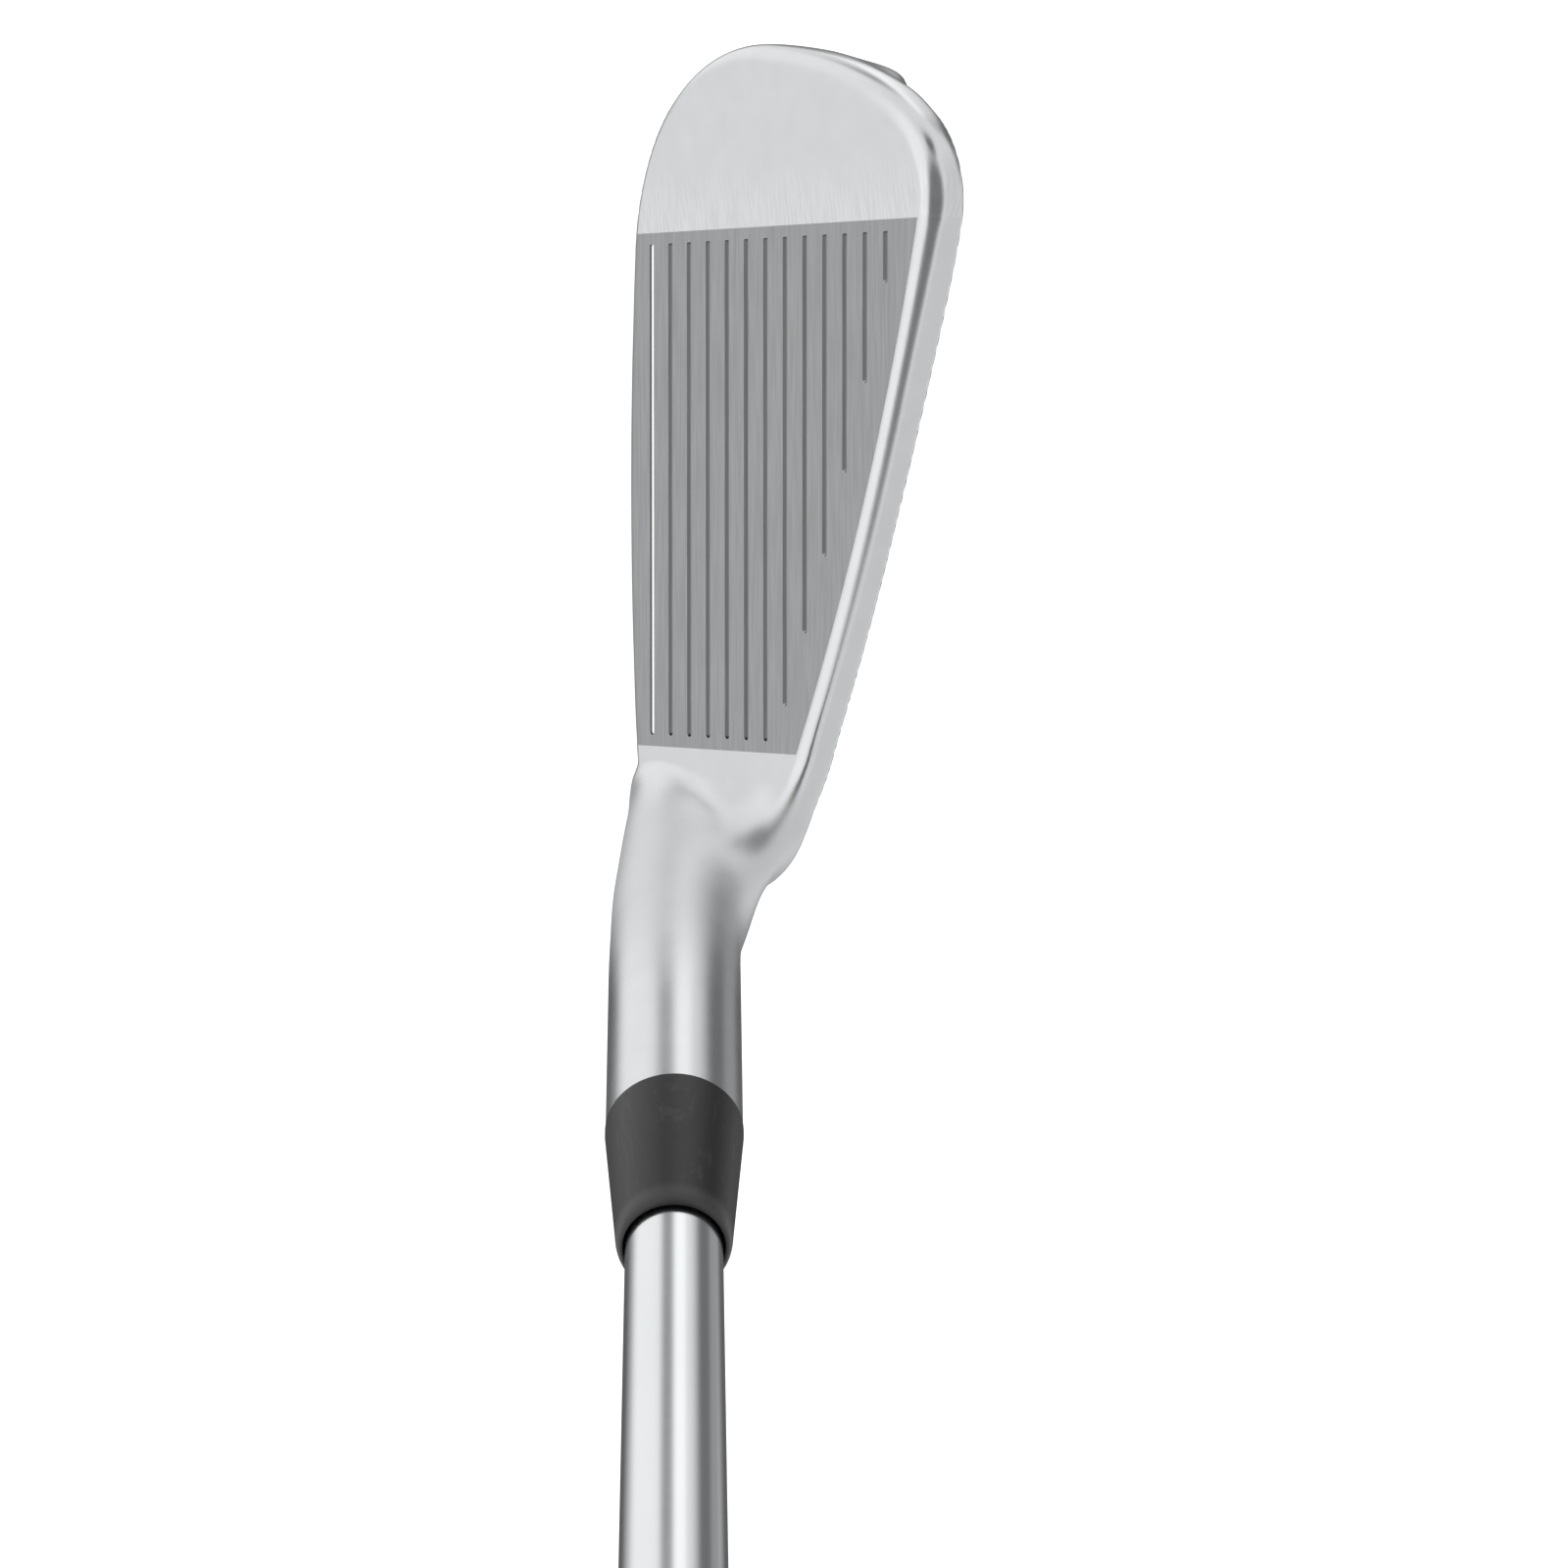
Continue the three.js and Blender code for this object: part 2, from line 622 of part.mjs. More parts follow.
function makeGrip() {
  const inside = BUTT_RADIUS + GRIP_TAPE_DEPTH + 2 * LAYER_GAP;
  const outer = [
    [GRIP_MOUTH_RADIUS - 0.5, GRIP_MOUTH], [GRIP_MOUTH_RADIUS, GRIP_MOUTH + 1.5],
    [GRIP_MOUTH_RADIUS + 0.7, GRIP_MOUTH + 105], [11.4, GRIP_END - 50], [12.5, GRIP_END - 16],
    [GRIP_BUTT_RADIUS, GRIP_END],
  ];
  return tube(outer, [[inside, GRIP_MOUTH], [inside, GRIP_END]]);
}

// The cap sits over the shaft's butt and has a vent hole in the middle.
function makeGripCap() {
  const foot = GRIP_END + FIT;
  const seat = BUTT_RADIUS + 0.4;
  const outer = [
    [GRIP_BUTT_RADIUS, foot], [CAP_RADIUS, foot + 1.2], [CAP_RADIUS, CLUB_LENGTH - 1.6],
    [CAP_RADIUS - 1.6, CLUB_LENGTH],
  ];
  const inner = [
    [seat, foot], [seat, SHAFT_BUTT + FIT], [VENT_RADIUS, SHAFT_BUTT + FIT], [VENT_RADIUS, CLUB_LENGTH],
  ];
  return tube(outer, inner);
}

// ---------- assembly ----------

const finishes = {
  castSteel: { color: 0xc9ccce, roughness: 0.32, metalness: 1 },
  blastedSteel: { color: 0x8f9192, roughness: 0.6, metalness: 0.9 },
  whiteEnamel: { color: 0xf4f4f2, roughness: 0.5, metalness: 0 },
  elastomer: { color: 0x2a2c2f, roughness: 0.8, metalness: 0 },
  adhesive: { color: 0xd9d6cc, roughness: 0.7, metalness: 0 },
  brushedAluminium: { color: 0xa9adb1, roughness: 0.4, metalness: 1 },
  gunmetal: { color: 0x3a3d41, roughness: 0.45, metalness: 0.9 },
  tungsten: { color: 0x6f7072, roughness: 0.4, metalness: 1 },
  brass: { color: 0xb39a5a, roughness: 0.4, metalness: 1 },
  cork: { color: 0x9b7648, roughness: 0.9, metalness: 0 },
  epoxy: { color: 0xc9b98a, roughness: 0.4, metalness: 0 },
  ferrulePlastic: { color: 0x1c1c1d, roughness: 0.4, metalness: 0 },
  chromedSteel: { color: 0xd5d7d9, roughness: 0.12, metalness: 1 },
  bandFilm: { color: 0x303236, roughness: 0.5, metalness: 0 },
  gripTape: { color: 0xc8c2a8, roughness: 0.9, metalness: 0 },
  gripRubber: { color: 0x1f2022, roughness: 0.85, metalness: 0 },
};

function named(name, geometry, finish) {
  const mesh = new THREE.Mesh(geometry, new THREE.MeshStandardMaterial(finish));
  mesh.name = name;
  return mesh;
}

function turnedGroup(frame) {
  const group = new THREE.Group();
  frame.decompose(group.position, group.quaternion, group.scale);
  return group;
}

const faceGroup = turnedGroup(faceFrame);
faceGroup.add(
  named('face_plate', makeFacePlate(), finishes.blastedSteel),
  named('groove_paint', makeGroovePaint(), finishes.whiteEnamel),
  named('cavity_damper', makeDamper(), finishes.elastomer),
  named('badge_tape', makeBadgeTape(), finishes.adhesive),
  named('badge_plate', makeBadgePlate(), finishes.brushedAluminium),
  named('badge_bar', makeBadgeBar(), finishes.gunmetal),
  named('toe_weight', makeToeWeight(), finishes.tungsten),
  named('sole_weight', makeSoleWeight(), finishes.tungsten),
);

const shaftGroup = turnedGroup(shaftFrame);
shaftGroup.add(
  named('tip_weight', makeTipWeight(), finishes.brass),
  named('tip_cork', makeTipCork(), finishes.cork),
  named('hosel_epoxy', makeEpoxy(), finishes.epoxy),
  named('ferrule', makeFerrule(), finishes.ferrulePlastic),
  named('shaft', makeShaft(), finishes.chromedSteel),
  named('shaft_band', makeShaftBand(), finishes.bandFilm),
  named('grip_tape', makeGripTape(), finishes.gripTape),
  named('grip', makeGrip(), finishes.gripRubber),
  named('grip_cap', makeGripCap(), finishes.gripRubber),
);

const golfIron = new THREE.Group();
golfIron.name = 'golf_iron';
golfIron.add(named('head_body', makeHeadBody(), finishes.castSteel), faceGroup, shaftGroup);

export default golfIron;
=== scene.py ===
"""A cavity-back golf iron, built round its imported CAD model.

Lengths in this script are millimetres until a mesh is made, and the axes are the CAD's: +Y runs
from heel to toe, +X points away from the target and +Z is up.  Face coordinates are (heel to toe,
up the face, depth behind the face).  Shaft coordinates are (along the shaft, and two across it).
"""

import math

import bmesh
import bpy
import numpy as np
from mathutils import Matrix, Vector


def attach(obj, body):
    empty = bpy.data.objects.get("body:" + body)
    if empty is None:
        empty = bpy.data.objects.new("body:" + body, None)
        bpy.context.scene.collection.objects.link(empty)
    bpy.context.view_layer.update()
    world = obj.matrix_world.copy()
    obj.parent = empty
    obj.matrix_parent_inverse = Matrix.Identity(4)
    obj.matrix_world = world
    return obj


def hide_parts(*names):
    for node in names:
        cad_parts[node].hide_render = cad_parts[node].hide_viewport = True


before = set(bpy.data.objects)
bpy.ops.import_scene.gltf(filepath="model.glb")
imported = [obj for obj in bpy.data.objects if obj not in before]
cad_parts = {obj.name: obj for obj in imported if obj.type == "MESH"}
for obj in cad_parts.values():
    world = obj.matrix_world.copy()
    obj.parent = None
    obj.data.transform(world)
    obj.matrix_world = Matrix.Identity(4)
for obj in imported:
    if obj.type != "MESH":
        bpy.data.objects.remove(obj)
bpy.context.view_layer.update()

MM = 0.001

# Club and head angles, and the leading edge where the face plane starts
LOFT = math.radians(34)
LIE = math.radians(63)
LEAD_X = -9.0
LEAD_Z = 2.9

# Flat part of the face: arcs are (centre heel to toe, centre up the face, radius)
LEAD_LOW = 0.764
LEAD_RISE = 1.1
LEAD_SPAN = 28.0
LEAD_ENDS = (-33.0, 24.8)
TOE_ARC = (24.3, 21.4, 19.8)
TOE_ARC_START = math.radians(-86)
TOP_CORNER_ARC = (28.9, 43.4, 9.0)
TOE_BULGE = 0.48
TOE_ARC_END = math.radians(6)
TOE_CONTROL = (42.3, 40.0)
TOP_ARC_START = math.radians(35)
TOP_ARC_END = math.radians(105)
TOP_CONTROL = (-1.7, 44.7)
TOP_HEEL = (-27.6, 31.0)
SHOULDER_CONTROL = (-34.2, 27.3)
SHOULDER_END = (-39.2, 18.8)
HEEL_POINTS = ((-40.2, 15.0), (-40.6, 11.0), (-39.6, 6.5), (-36.5, 3.6))

# Edge of the face: radii, how the wall behind it leans out and then in, and where each one fades in
FACE_ROUND = 1.5
LEAD_ROUND = 2.5
LEAD_ROUND_UP = (4.0, 14.0)
TOE_ROUND = 2.25
TOE_ROUND_ALONG = (8.0, 42.0)
HEEL_ROUND = 2.1
HEEL_ROUND_ALONG = (24.0, 38.0)
TOE_FLARE = 0.066
TOE_TUCK = 0.19
TOE_CROWN_DEPTH = 4.4
TOE_CROWN_BLEND = 3.0
CORNER_TUCK = 0.58
CORNER_TUCK_UP = (29.0, 43.4)
CORNER_TUCK_ALONG = (22.0, 42.0)

# Depths behind the face
TOP_BAR_DEPTH = 3.9
TOP_BAR_GAIN = 0.7
TOP_BAR_GAIN_ALONG = (-6.0, 28.0)
FLANGE_DEPTH = 17.8
BACK_SLOPE = math.radians(16)
TOP_BAR_FOOT = 33.6
FLANGE_TOP = 14.1
BACK_BLEND = 5.0
BACK_SLOPE_SHARE = 0.83  # makes up for the slope of the back, so that its field is a distance
HEEL_RELIEF = (-14.0, 19.0, 7.5)  # start, depth there, and how far it takes to lose 1 mm
HEEL_RELIEF_BLEND = 4.0
TOE_THINNING = 1.4
TOE_THINNING_ALONG = (32.0, 44.0)
TOE_THINNING_DEPTHS = (5.0, 9.0)
BACK_ROUND = 1.6
FLANGE_ROUND_GAIN = 5.0
FLANGE_ROUND_DEPTHS = (5.0, 15.0)
FLANGE_TIP_CRISPNESS = 0.94
FLANGE_TIP_ALONG = (28.0, 42.0)
FLANGE_TIP_UP = (24.0, 34.0)

# Sole
SOLE_CAMBER = 36.0
SOLE_ROCKER = 480.0
ROCKER_KNEE = 22.0
TOE_ROCKER = 34.0
HEEL_ROCKER = 30.0
SOLE_SLOPE_SHARE = 0.95
SOLE_ROUND = 1.2
SOLE_ROUND_GAIN = 5.0
SOLE_ROUND_ACROSS = (-5.0, 15.0)

# Hosel
AXIS_X = -4.3
AXIS_Y = -31.65
HOSEL_RADIUS = 6.8
HOSEL_TOP = 69.8
HOSEL_SPIGOT = 0.5
HOSEL_FOOT = 4.5
HOSEL_TAPER_END = 42.0
HOSEL_TAPER = 0.00085
HOSEL_LEAN = 0.8
HOSEL_TOP_ROUND = 0.5
HEEL_BLEND = (4.3, 7.8)
HEEL_BLEND_UP = (4.0, 26.0)
HEEL_BLEND_ALONG = (26.0, 42.0)
PLATE_BLEND_SHARE = 0.001  # what is left of the blend beside the face plate
PLATE_BLEND_RUN = 4.0
PLATE_BLEND_DEPTH = 4.0
NECK_START = (-1.7, -45.7, 22.7, 2.3)
NECK_END = (7.5, -31.0, 20.8, 1.2)
NECK_REACH = 11.4
BORE_BOTTOM = 34.0
BORE_RADIUS = 4.95
BORE_EDGE = 0.4

# Hollows in the head
PLATE_TOE = 27.3
PLATE_HEEL = -27.6
PLATE_DEPTH = 2.6
PLATE_LIP = 1.1
SEAT_EDGE = 0.1
CAVITY_FLOOR = 3.0
CAVITY_CORNER = 3.0
CAVITY_FILLET = 2.0
CAVITY_RIM = 1.4
CAVITY_CORNERS = (
    (-25.5, 16.5), (28, 16.5), (36.5, 25), (34.5, 38.5), (27.5, 46.3), (-1.5, 39), (-25.5, 26.8),
)
WINDOW_CORNERS = ((-25.4, 16.5), (25.1, 16.5), (25.1, 45.4), (-1.5, 39), (-25.4, 26.8))
WINDOW_CORNER = 2.0
WINDOW_EDGE = 0.4
TOE_PORT = (13.5, 10.5, 3.1, 31.1)  # up the face, depth, radius, and where its floor is
PORT_EDGE = 0.5
SOLE_SLOT = (-12.0, 20.0, 6.5, 13.0, 9.0)  # heel end, toe end, near side, far side, floor
SLOT_EDGE = 0.4


# ---------- frames ----------

def face_coordinates(x, y, z):
    ahead = x - LEAD_X
    above = z - LEAD_Z
    up = ahead * math.sin(LOFT) + above * math.cos(LOFT)
    depth = ahead * math.cos(LOFT) - above * math.sin(LOFT)
    return y, up, depth


def from_face(along, up, depth):
    x = LEAD_X + up * math.sin(LOFT) + depth * math.cos(LOFT)
    z = LEAD_Z + up * math.cos(LOFT) - depth * math.sin(LOFT)
    return np.stack(np.broadcast_arrays(x, along, z), axis=-1)


def shaft_coordinates(x, y, z):
    along = -(y - AXIS_Y) * math.cos(LIE) + z * math.sin(LIE)
    across = -(y - AXIS_Y) * math.sin(LIE) - z * math.cos(LIE)
    return along, x - AXIS_X, across


def from_shaft(along, radius, turn):
    across = radius * np.sin(turn)
    x = AXIS_X + radius * np.cos(turn)
    y = AXIS_Y - along * math.cos(LIE) - across * math.sin(LIE)
    z = along * math.sin(LIE) - across * math.cos(LIE)
    return np.stack(np.broadcast_arrays(x, y, z), axis=-1)


# ---------- outlines ----------

def arc_points(arc, start, end, count):
    turn = np.linspace(start, end, count)
    return np.stack([arc[0] + arc[2] * np.cos(turn), arc[1] + arc[2] * np.sin(turn)], axis=1)


def curve_points(start, control, end, count):
    share = np.linspace(0, 1, count)[:, None]
    start, control, end = np.array(start), np.array(control), np.array(end)
    return start * (1 - share) ** 2 + 2 * control * share * (1 - share) + end * share ** 2


def lead_height(along):
    return LEAD_LOW + LEAD_RISE * (along / LEAD_SPAN) ** 2


def top_edge(count):
    start = arc_points(TOP_CORNER_ARC, TOP_ARC_END, TOP_ARC_END, 1)[0]
    return curve_points(start, TOP_CONTROL, TOP_HEEL, count)


def toe_points(count):
    """The toe arc, fuller between the sole and the widest point."""
    share = np.linspace(0, 1, count)
    turn = TOE_ARC_START + (TOE_ARC_END - TOE_ARC_START) * share
    radius = TOE_ARC[2] + TOE_BULGE * np.sin(np.pi * share) ** 2
    return np.stack([TOE_ARC[0] + radius * np.cos(turn), TOE_ARC[1] + radius * np.sin(turn)], axis=1)


def face_outline():
    """The edge of the flat face, anticlockwise from the leading edge at the heel."""
    along = np.linspace(*LEAD_ENDS, 110)
    toe = toe_points(70)
    corner = arc_points(TOP_CORNER_ARC, TOP_ARC_START, TOP_ARC_END, 30)
    return np.concatenate([
        np.stack([along, lead_height(along)], axis=1),
        toe,
        curve_points(toe[-1], TOE_CONTROL, corner[0], 40)[1:-1],
        corner,
        top_edge(120)[1:],
        curve_points(TOP_HEEL, SHOULDER_CONTROL, SHOULDER_END, 24)[1:],
        np.array(HEEL_POINTS),
    ])


def polygon_distance(points, x, y):
    """Signed distance to a closed polygon, negative inside."""
    nearest = np.full(x.shape, 1e9)
    inside = np.zeros(x.shape, bool)
    for (ax, ay), (bx, by) in zip(points, np.roll(points, -1, axis=0)):
        dx, dy = bx - ax, by - ay
        share = np.clip(((x - ax) * dx + (y - ay) * dy) / (dx * dx + dy * dy), 0, 1)
        nearest = np.minimum(nearest, (x - ax - share * dx) ** 2 + (y - ay - share * dy) ** 2)
        if dy != 0:
            crosses = ((ay > y) != (by > y)) & (x < ax + (y - ay) * dx / dy)
            inside ^= crosses
    return np.where(inside, -1.0, 1.0) * np.sqrt(nearest)


class OutlineField:
    """Signed distance to an outline, kept on a grid and read back with smooth cubic weights."""

    STEP = 0.25
    LOW = (-60.0, -12.0)
    HIGH = (60.0, 66.0)

    def __init__(self, points):
        x = np.arange(self.LOW[0], self.HIGH[0], self.STEP)
        y = np.arange(self.LOW[1], self.HIGH[1], self.STEP)
        self.grid = polygon_distance(points, *np.meshgrid(x, y, indexing="ij"))

    def __call__(self, x, y):
        places = []
        for value, low, size in zip((x, y), self.LOW, self.grid.shape):
            scaled = np.clip((value - low) / self.STEP, 1, size - 3.001)
            cell = scaled.astype(int)
            f = scaled - cell
            weights = ((1 - f) ** 3, 3 * f ** 3 - 6 * f * f + 4, 1 + 3 * f + 3 * f * f - 3 * f ** 3, f ** 3)
            places.append((cell, weights))
        (column, across), (row, up) = places
        total = np.zeros(np.shape(x))
        for i in range(4):
            for j in range(4):
                total += across[i] * up[j] * self.grid[column + i - 1, row + j - 1]
        return total / 36


# ---------- solids as distance fields ----------

def join(a, b, reach):
    """The smaller of two fields, with a fillet."""
    blend = np.maximum(reach - np.abs(a - b), 0) / reach
    return np.minimum(a, b) - blend ** 3 * reach / 6


def overlap(a, b, reach):
    """The larger of two fields, with a rounded edge."""
    return -join(-a, -b, reach)


def cut(a, b, reach):
    return overlap(a, -b, reach)


def ramp(value, low, high):
    share = np.clip((value - low) / (high - low), 0, 1)
    return share * share * (3 - 2 * share)


def convex_field(corners, x, y, reach):
    """Inside an anticlockwise convex polygon with rounded corners."""
    total = None
    for (ax, ay), (bx, by) in zip(corners, corners[1:] + corners[:1]):
        length = math.hypot(bx - ax, by - ay)
        side = ((x - ax) * (by - ay) - (y - ay) * (bx - ax)) / length
        total = side if total is None else overlap(total, side, reach)
    return total


def blade_depth(along, up):
    """How thick the blade is at a place on the face, before the cavity."""
    height = up * math.cos(BACK_SLOPE) - along * math.sin(BACK_SLOPE)
    slope = (FLANGE_DEPTH - TOP_BAR_DEPTH) / (TOP_BAR_FOOT - FLANGE_TOP)
    bar = TOP_BAR_DEPTH + TOP_BAR_GAIN * ramp(along, *TOP_BAR_GAIN_ALONG)
    depth = overlap((TOP_BAR_FOOT - height) * slope, np.zeros_like(height), BACK_BLEND) + bar
    depth = join(depth, np.full_like(height, FLANGE_DEPTH), BACK_BLEND)
    start, most, run = HEEL_RELIEF
    heel = most - (np.maximum(start - along, 0) / run) ** 2
    thinning = TOE_THINNING * ramp(along, *TOE_THINNING_ALONG) * ramp(depth, *TOE_THINNING_DEPTHS)
    return join(depth, heel, HEEL_RELIEF_BLEND) - thinning


def blade_field(x, y, z):
    along, up, depth = face_coordinates(x, y, z)
    edge = outline(along, up)
    radius = LEAD_ROUND + (FACE_ROUND - LEAD_ROUND) * ramp(up, *LEAD_ROUND_UP)
    toe_radius = FACE_ROUND + (TOE_ROUND - FACE_ROUND) * ramp(along, *TOE_ROUND_ALONG)
    heel_radius = FACE_ROUND + (HEEL_ROUND - FACE_ROUND) * ramp(-along, *HEEL_ROUND_ALONG)
    radius = np.maximum(np.maximum(radius, toe_radius), heel_radius)
    tuck = overlap(depth - TOE_CROWN_DEPTH, np.zeros_like(depth), TOE_CROWN_BLEND)
    inwards = TOE_TUCK + CORNER_TUCK * ramp(up, *CORNER_TUCK_UP) * ramp(along, *CORNER_TUCK_ALONG)
    beyond = edge - TOE_FLARE * (depth - tuck) + inwards * tuck
    above = radius - depth
    front = np.hypot(np.maximum(beyond, 0), np.maximum(above, 0))
    front = front + np.minimum(np.maximum(beyond, above), 0) - radius
    thickness = blade_depth(along, up)
    back = (depth - thickness) * BACK_SLOPE_SHARE
    crisp = FLANGE_TIP_CRISPNESS * ramp(along, *FLANGE_TIP_ALONG) * ramp(up, *FLANGE_TIP_UP)
    rounding = BACK_ROUND + FLANGE_ROUND_GAIN * ramp(thickness, *FLANGE_ROUND_DEPTHS) * (1 - crisp)
    return overlap(front, back, rounding)


def sole_field(x, y, z):
    rocker = np.where(y > 0, TOE_ROCKER, HEEL_ROCKER)
    return (x * x / (2 * SOLE_CAMBER) + y * y / (2 * SOLE_ROCKER)
            + np.maximum(np.abs(y) - ROCKER_KNEE, 0) ** 2 / (2 * rocker) - z) * SOLE_SLOPE_SHARE


def hosel_field(x, y, z):
    along, across_x, across = shaft_coordinates(x, y, z)
    radius = HOSEL_RADIUS - HOSEL_TAPER * np.maximum(HOSEL_TAPER_END - along, 0) ** 2
    shifted = across_x - HOSEL_LEAN * (HOSEL_RADIUS - radius)
    wall = np.sqrt(shifted ** 2 + across ** 2 + np.minimum(along - HOSEL_FOOT, 0) ** 2) - radius
    return wall, along, np.hypot(across_x, across)


def neck_field(x, y, z):
    """A round cone from the hosel to the heel end of the top edge."""
    start, end = np.array(NECK_START), np.array(NECK_END)
    run = end - start
    length = run[:3] @ run[:3]
    share = ((x - start[0]) * run[0] + (y - start[1]) * run[1] + (z - start[2]) * run[2]) / length
    share = np.clip(share, 0, 1)
    away = [place - start[i] - share * run[i] for i, place in enumerate((x, y, z))]
    return np.sqrt(away[0] ** 2 + away[1] ** 2 + away[2] ** 2) - start[3] - share * run[3]


def head_field(x, y, z):
    along, up, depth = face_coordinates(x, y, z)
    hosel, up_shaft, from_axis = hosel_field(x, y, z)
    low_reach, high_reach = HEEL_BLEND
    reach = low_reach + (high_reach - low_reach) * ramp(up, *HEEL_BLEND_UP) * ramp(-along, *HEEL_BLEND_ALONG)
    beside_plate = ramp(along, PLATE_HEEL - PLATE_BLEND_RUN, PLATE_HEEL)
    beside_plate = beside_plate * (1 - ramp(depth, 0, PLATE_BLEND_DEPTH))
    reach = reach * (1 - (1 - PLATE_BLEND_SHARE) * beside_plate)
    solid = join(neck_field(x, y, z), hosel, NECK_REACH)
    solid = join(blade_field(x, y, z), solid, reach)
    sole_round = SOLE_ROUND + SOLE_ROUND_GAIN * ramp(x, *SOLE_ROUND_ACROSS)
    solid = overlap(solid, sole_field(x, y, z), sole_round)
    solid = overlap(solid, up_shaft - HOSEL_TOP - HOSEL_SPIGOT, HOSEL_TOP_ROUND)
    solid = cut(solid, np.maximum(from_axis - BORE_RADIUS, BORE_BOTTOM - up_shaft), BORE_EDGE)
    cavity_outline = convex_field(CAVITY_CORNERS, along, up, CAVITY_CORNER)
    solid = cut(solid, overlap(cavity_outline, CAVITY_FLOOR - depth, CAVITY_FILLET), CAVITY_RIM)
    window_outline = convex_field(WINDOW_CORNERS, along, up, WINDOW_CORNER)
    solid = cut(solid, np.maximum(window_outline, depth - CAVITY_FLOOR - 1), WINDOW_EDGE)
    seat = np.maximum(PLATE_HEEL + PLATE_LIP - along, along - PLATE_TOE + PLATE_LIP)
    seat = np.maximum(np.maximum(seat, outline(along, up) + PLATE_LIP), depth - PLATE_DEPTH)
    solid = cut(solid, seat, SEAT_EDGE)
    port_up, port_depth, port_radius, port_floor = TOE_PORT
    port = np.maximum(np.hypot(up - port_up, depth - port_depth) - port_radius, port_floor - along)
    solid = cut(solid, port, PORT_EDGE)
    heel, toe, near, far, low = SOLE_SLOT
    slot = np.maximum(np.maximum(heel - along, along - toe), np.maximum(near - depth, depth - far))
    return cut(solid, np.maximum(slot, low - up), SLOT_EDGE)


def field_normals(field, points, step):
    offsets = np.eye(3) * step
    gradient = np.stack([field(*(points + o).T) - field(*(points - o).T) for o in offsets], axis=1)
    return gradient / (2 * step)


def surface_net(field, low, high, step):
    """Vertices and quads where the field crosses zero, moved exactly onto the surface."""
    axes = [np.arange(a, b + step, step) for a, b in zip(low, high)]
    values = field(*np.meshgrid(*axes, indexing="ij"))
    cells = tuple(n - 1 for n in values.shape)
    count = np.zeros(cells).ravel()
    total = np.zeros((3, count.size))
    edges = []
    for axis in range(3):
        ahead = [slice(None)] * 3
        behind = [slice(None)] * 3
        ahead[axis] = slice(1, None)
        behind[axis] = slice(None, -1)
        first, second = values[tuple(behind)], values[tuple(ahead)]
        place = np.argwhere((first < 0) != (second < 0))
        start, end = first[tuple(place.T)], second[tuple(place.T)]
        crossing = place.astype(float)
        crossing[:, axis] += start / (start - end)
        u, v = (axis + 1) % 3, (axis + 2) % 3
        around = []
        for du, dv in ((0, 0), (-1, 0), (-1, -1), (0, -1)):
            cell = place.copy()
            cell[:, u] += du
            cell[:, v] += dv
            cell = np.clip(cell.T, 0, np.array(cells)[:, None] - 1)
            around.append(np.ravel_multi_index(tuple(cell), cells))
        for index in around:
            count += np.bincount(index, minlength=count.size)
            for k in range(3):
                total[k] += np.bincount(index, weights=crossing[:, k], minlength=count.size)
        quads = np.stack(around, axis=1)
        inside_first = start < 0
        quads[~inside_first] = quads[~inside_first][:, ::-1]
        edges.append(quads)
    used = np.flatnonzero(count)
    number = np.full(count.size, -1)
    number[used] = np.arange(used.size)
    points = (total[:, used] / count[used]).T * step + np.array([a[0] for a in axes])
    quads = number[np.concatenate(edges)]
    for _ in range(4):
        value = field(*points.T)
        gradient = field_normals(field, points, 0.02)
        square = np.maximum((gradient ** 2).sum(1), 0.05)
        move = gradient * (value / square)[:, None]
        length = np.linalg.norm(move, axis=1, keepdims=True)
        points = points - move * np.minimum(1, 0.5 * step / np.maximum(length, 1e-9))
    return points, quads


outline = OutlineField(face_outline())


# ---------- meshes ----------

MERGE = 0.001  # points closer than this become one


def add_mesh(name, points, faces, node, material, sharp_angle=None, normals=None):
    """A piece of the object from points in millimetres, shown in place of one CAD node."""
    mesh = bpy.data.meshes.new(name)
    mesh.from_pydata((np.asarray(points) * MM).tolist(), [], [list(map(int, f)) for f in faces])
    mesh.validate()
    if normals is None:
        clean = bmesh.new()
        clean.from_mesh(mesh)
        bmesh.ops.remove_doubles(clean, verts=clean.verts, dist=MERGE * MM)
        loose = [v for v in clean.verts if not v.link_faces]
        bmesh.ops.delete(clean, geom=loose, context="VERTS")
        bmesh.ops.recalc_face_normals(clean, faces=clean.faces)
        clean.to_mesh(mesh)
        clean.free()
    mesh.polygons.foreach_set("use_smooth", [True] * len(mesh.polygons))
    if sharp_angle is not None:
        mesh.set_sharp_from_angle(angle=math.radians(sharp_angle))
    if normals is not None:
        mesh.normals_split_custom_set_from_vertices(normals.tolist())
    piece = bpy.data.objects.new(name, mesh)
    bpy.context.scene.collection.objects.link(piece)
    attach(piece, "root")
    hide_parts(node)
    mesh.materials.append(material)
    return piece


def loft(rings, closed=False):
    """Quads between rings of equal length.  Open lofts are capped, closed ones join last to first."""
    rings = np.asarray(rings)
    levels, count = rings.shape[:2]
    faces = []
    spans = levels if closed else levels - 1
    for level in range(spans):
        low = level * count
        high = ((level + 1) % levels) * count
        for i in range(count):
            j = (i + 1) % count
            faces.append((low + i, low + j, high + j, high + i))
    if not closed:
        faces.append(tuple(range(count - 1, -1, -1)))
        faces.append(tuple(range((levels - 1) * count, levels * count)))
    return rings.reshape(-1, 3), faces


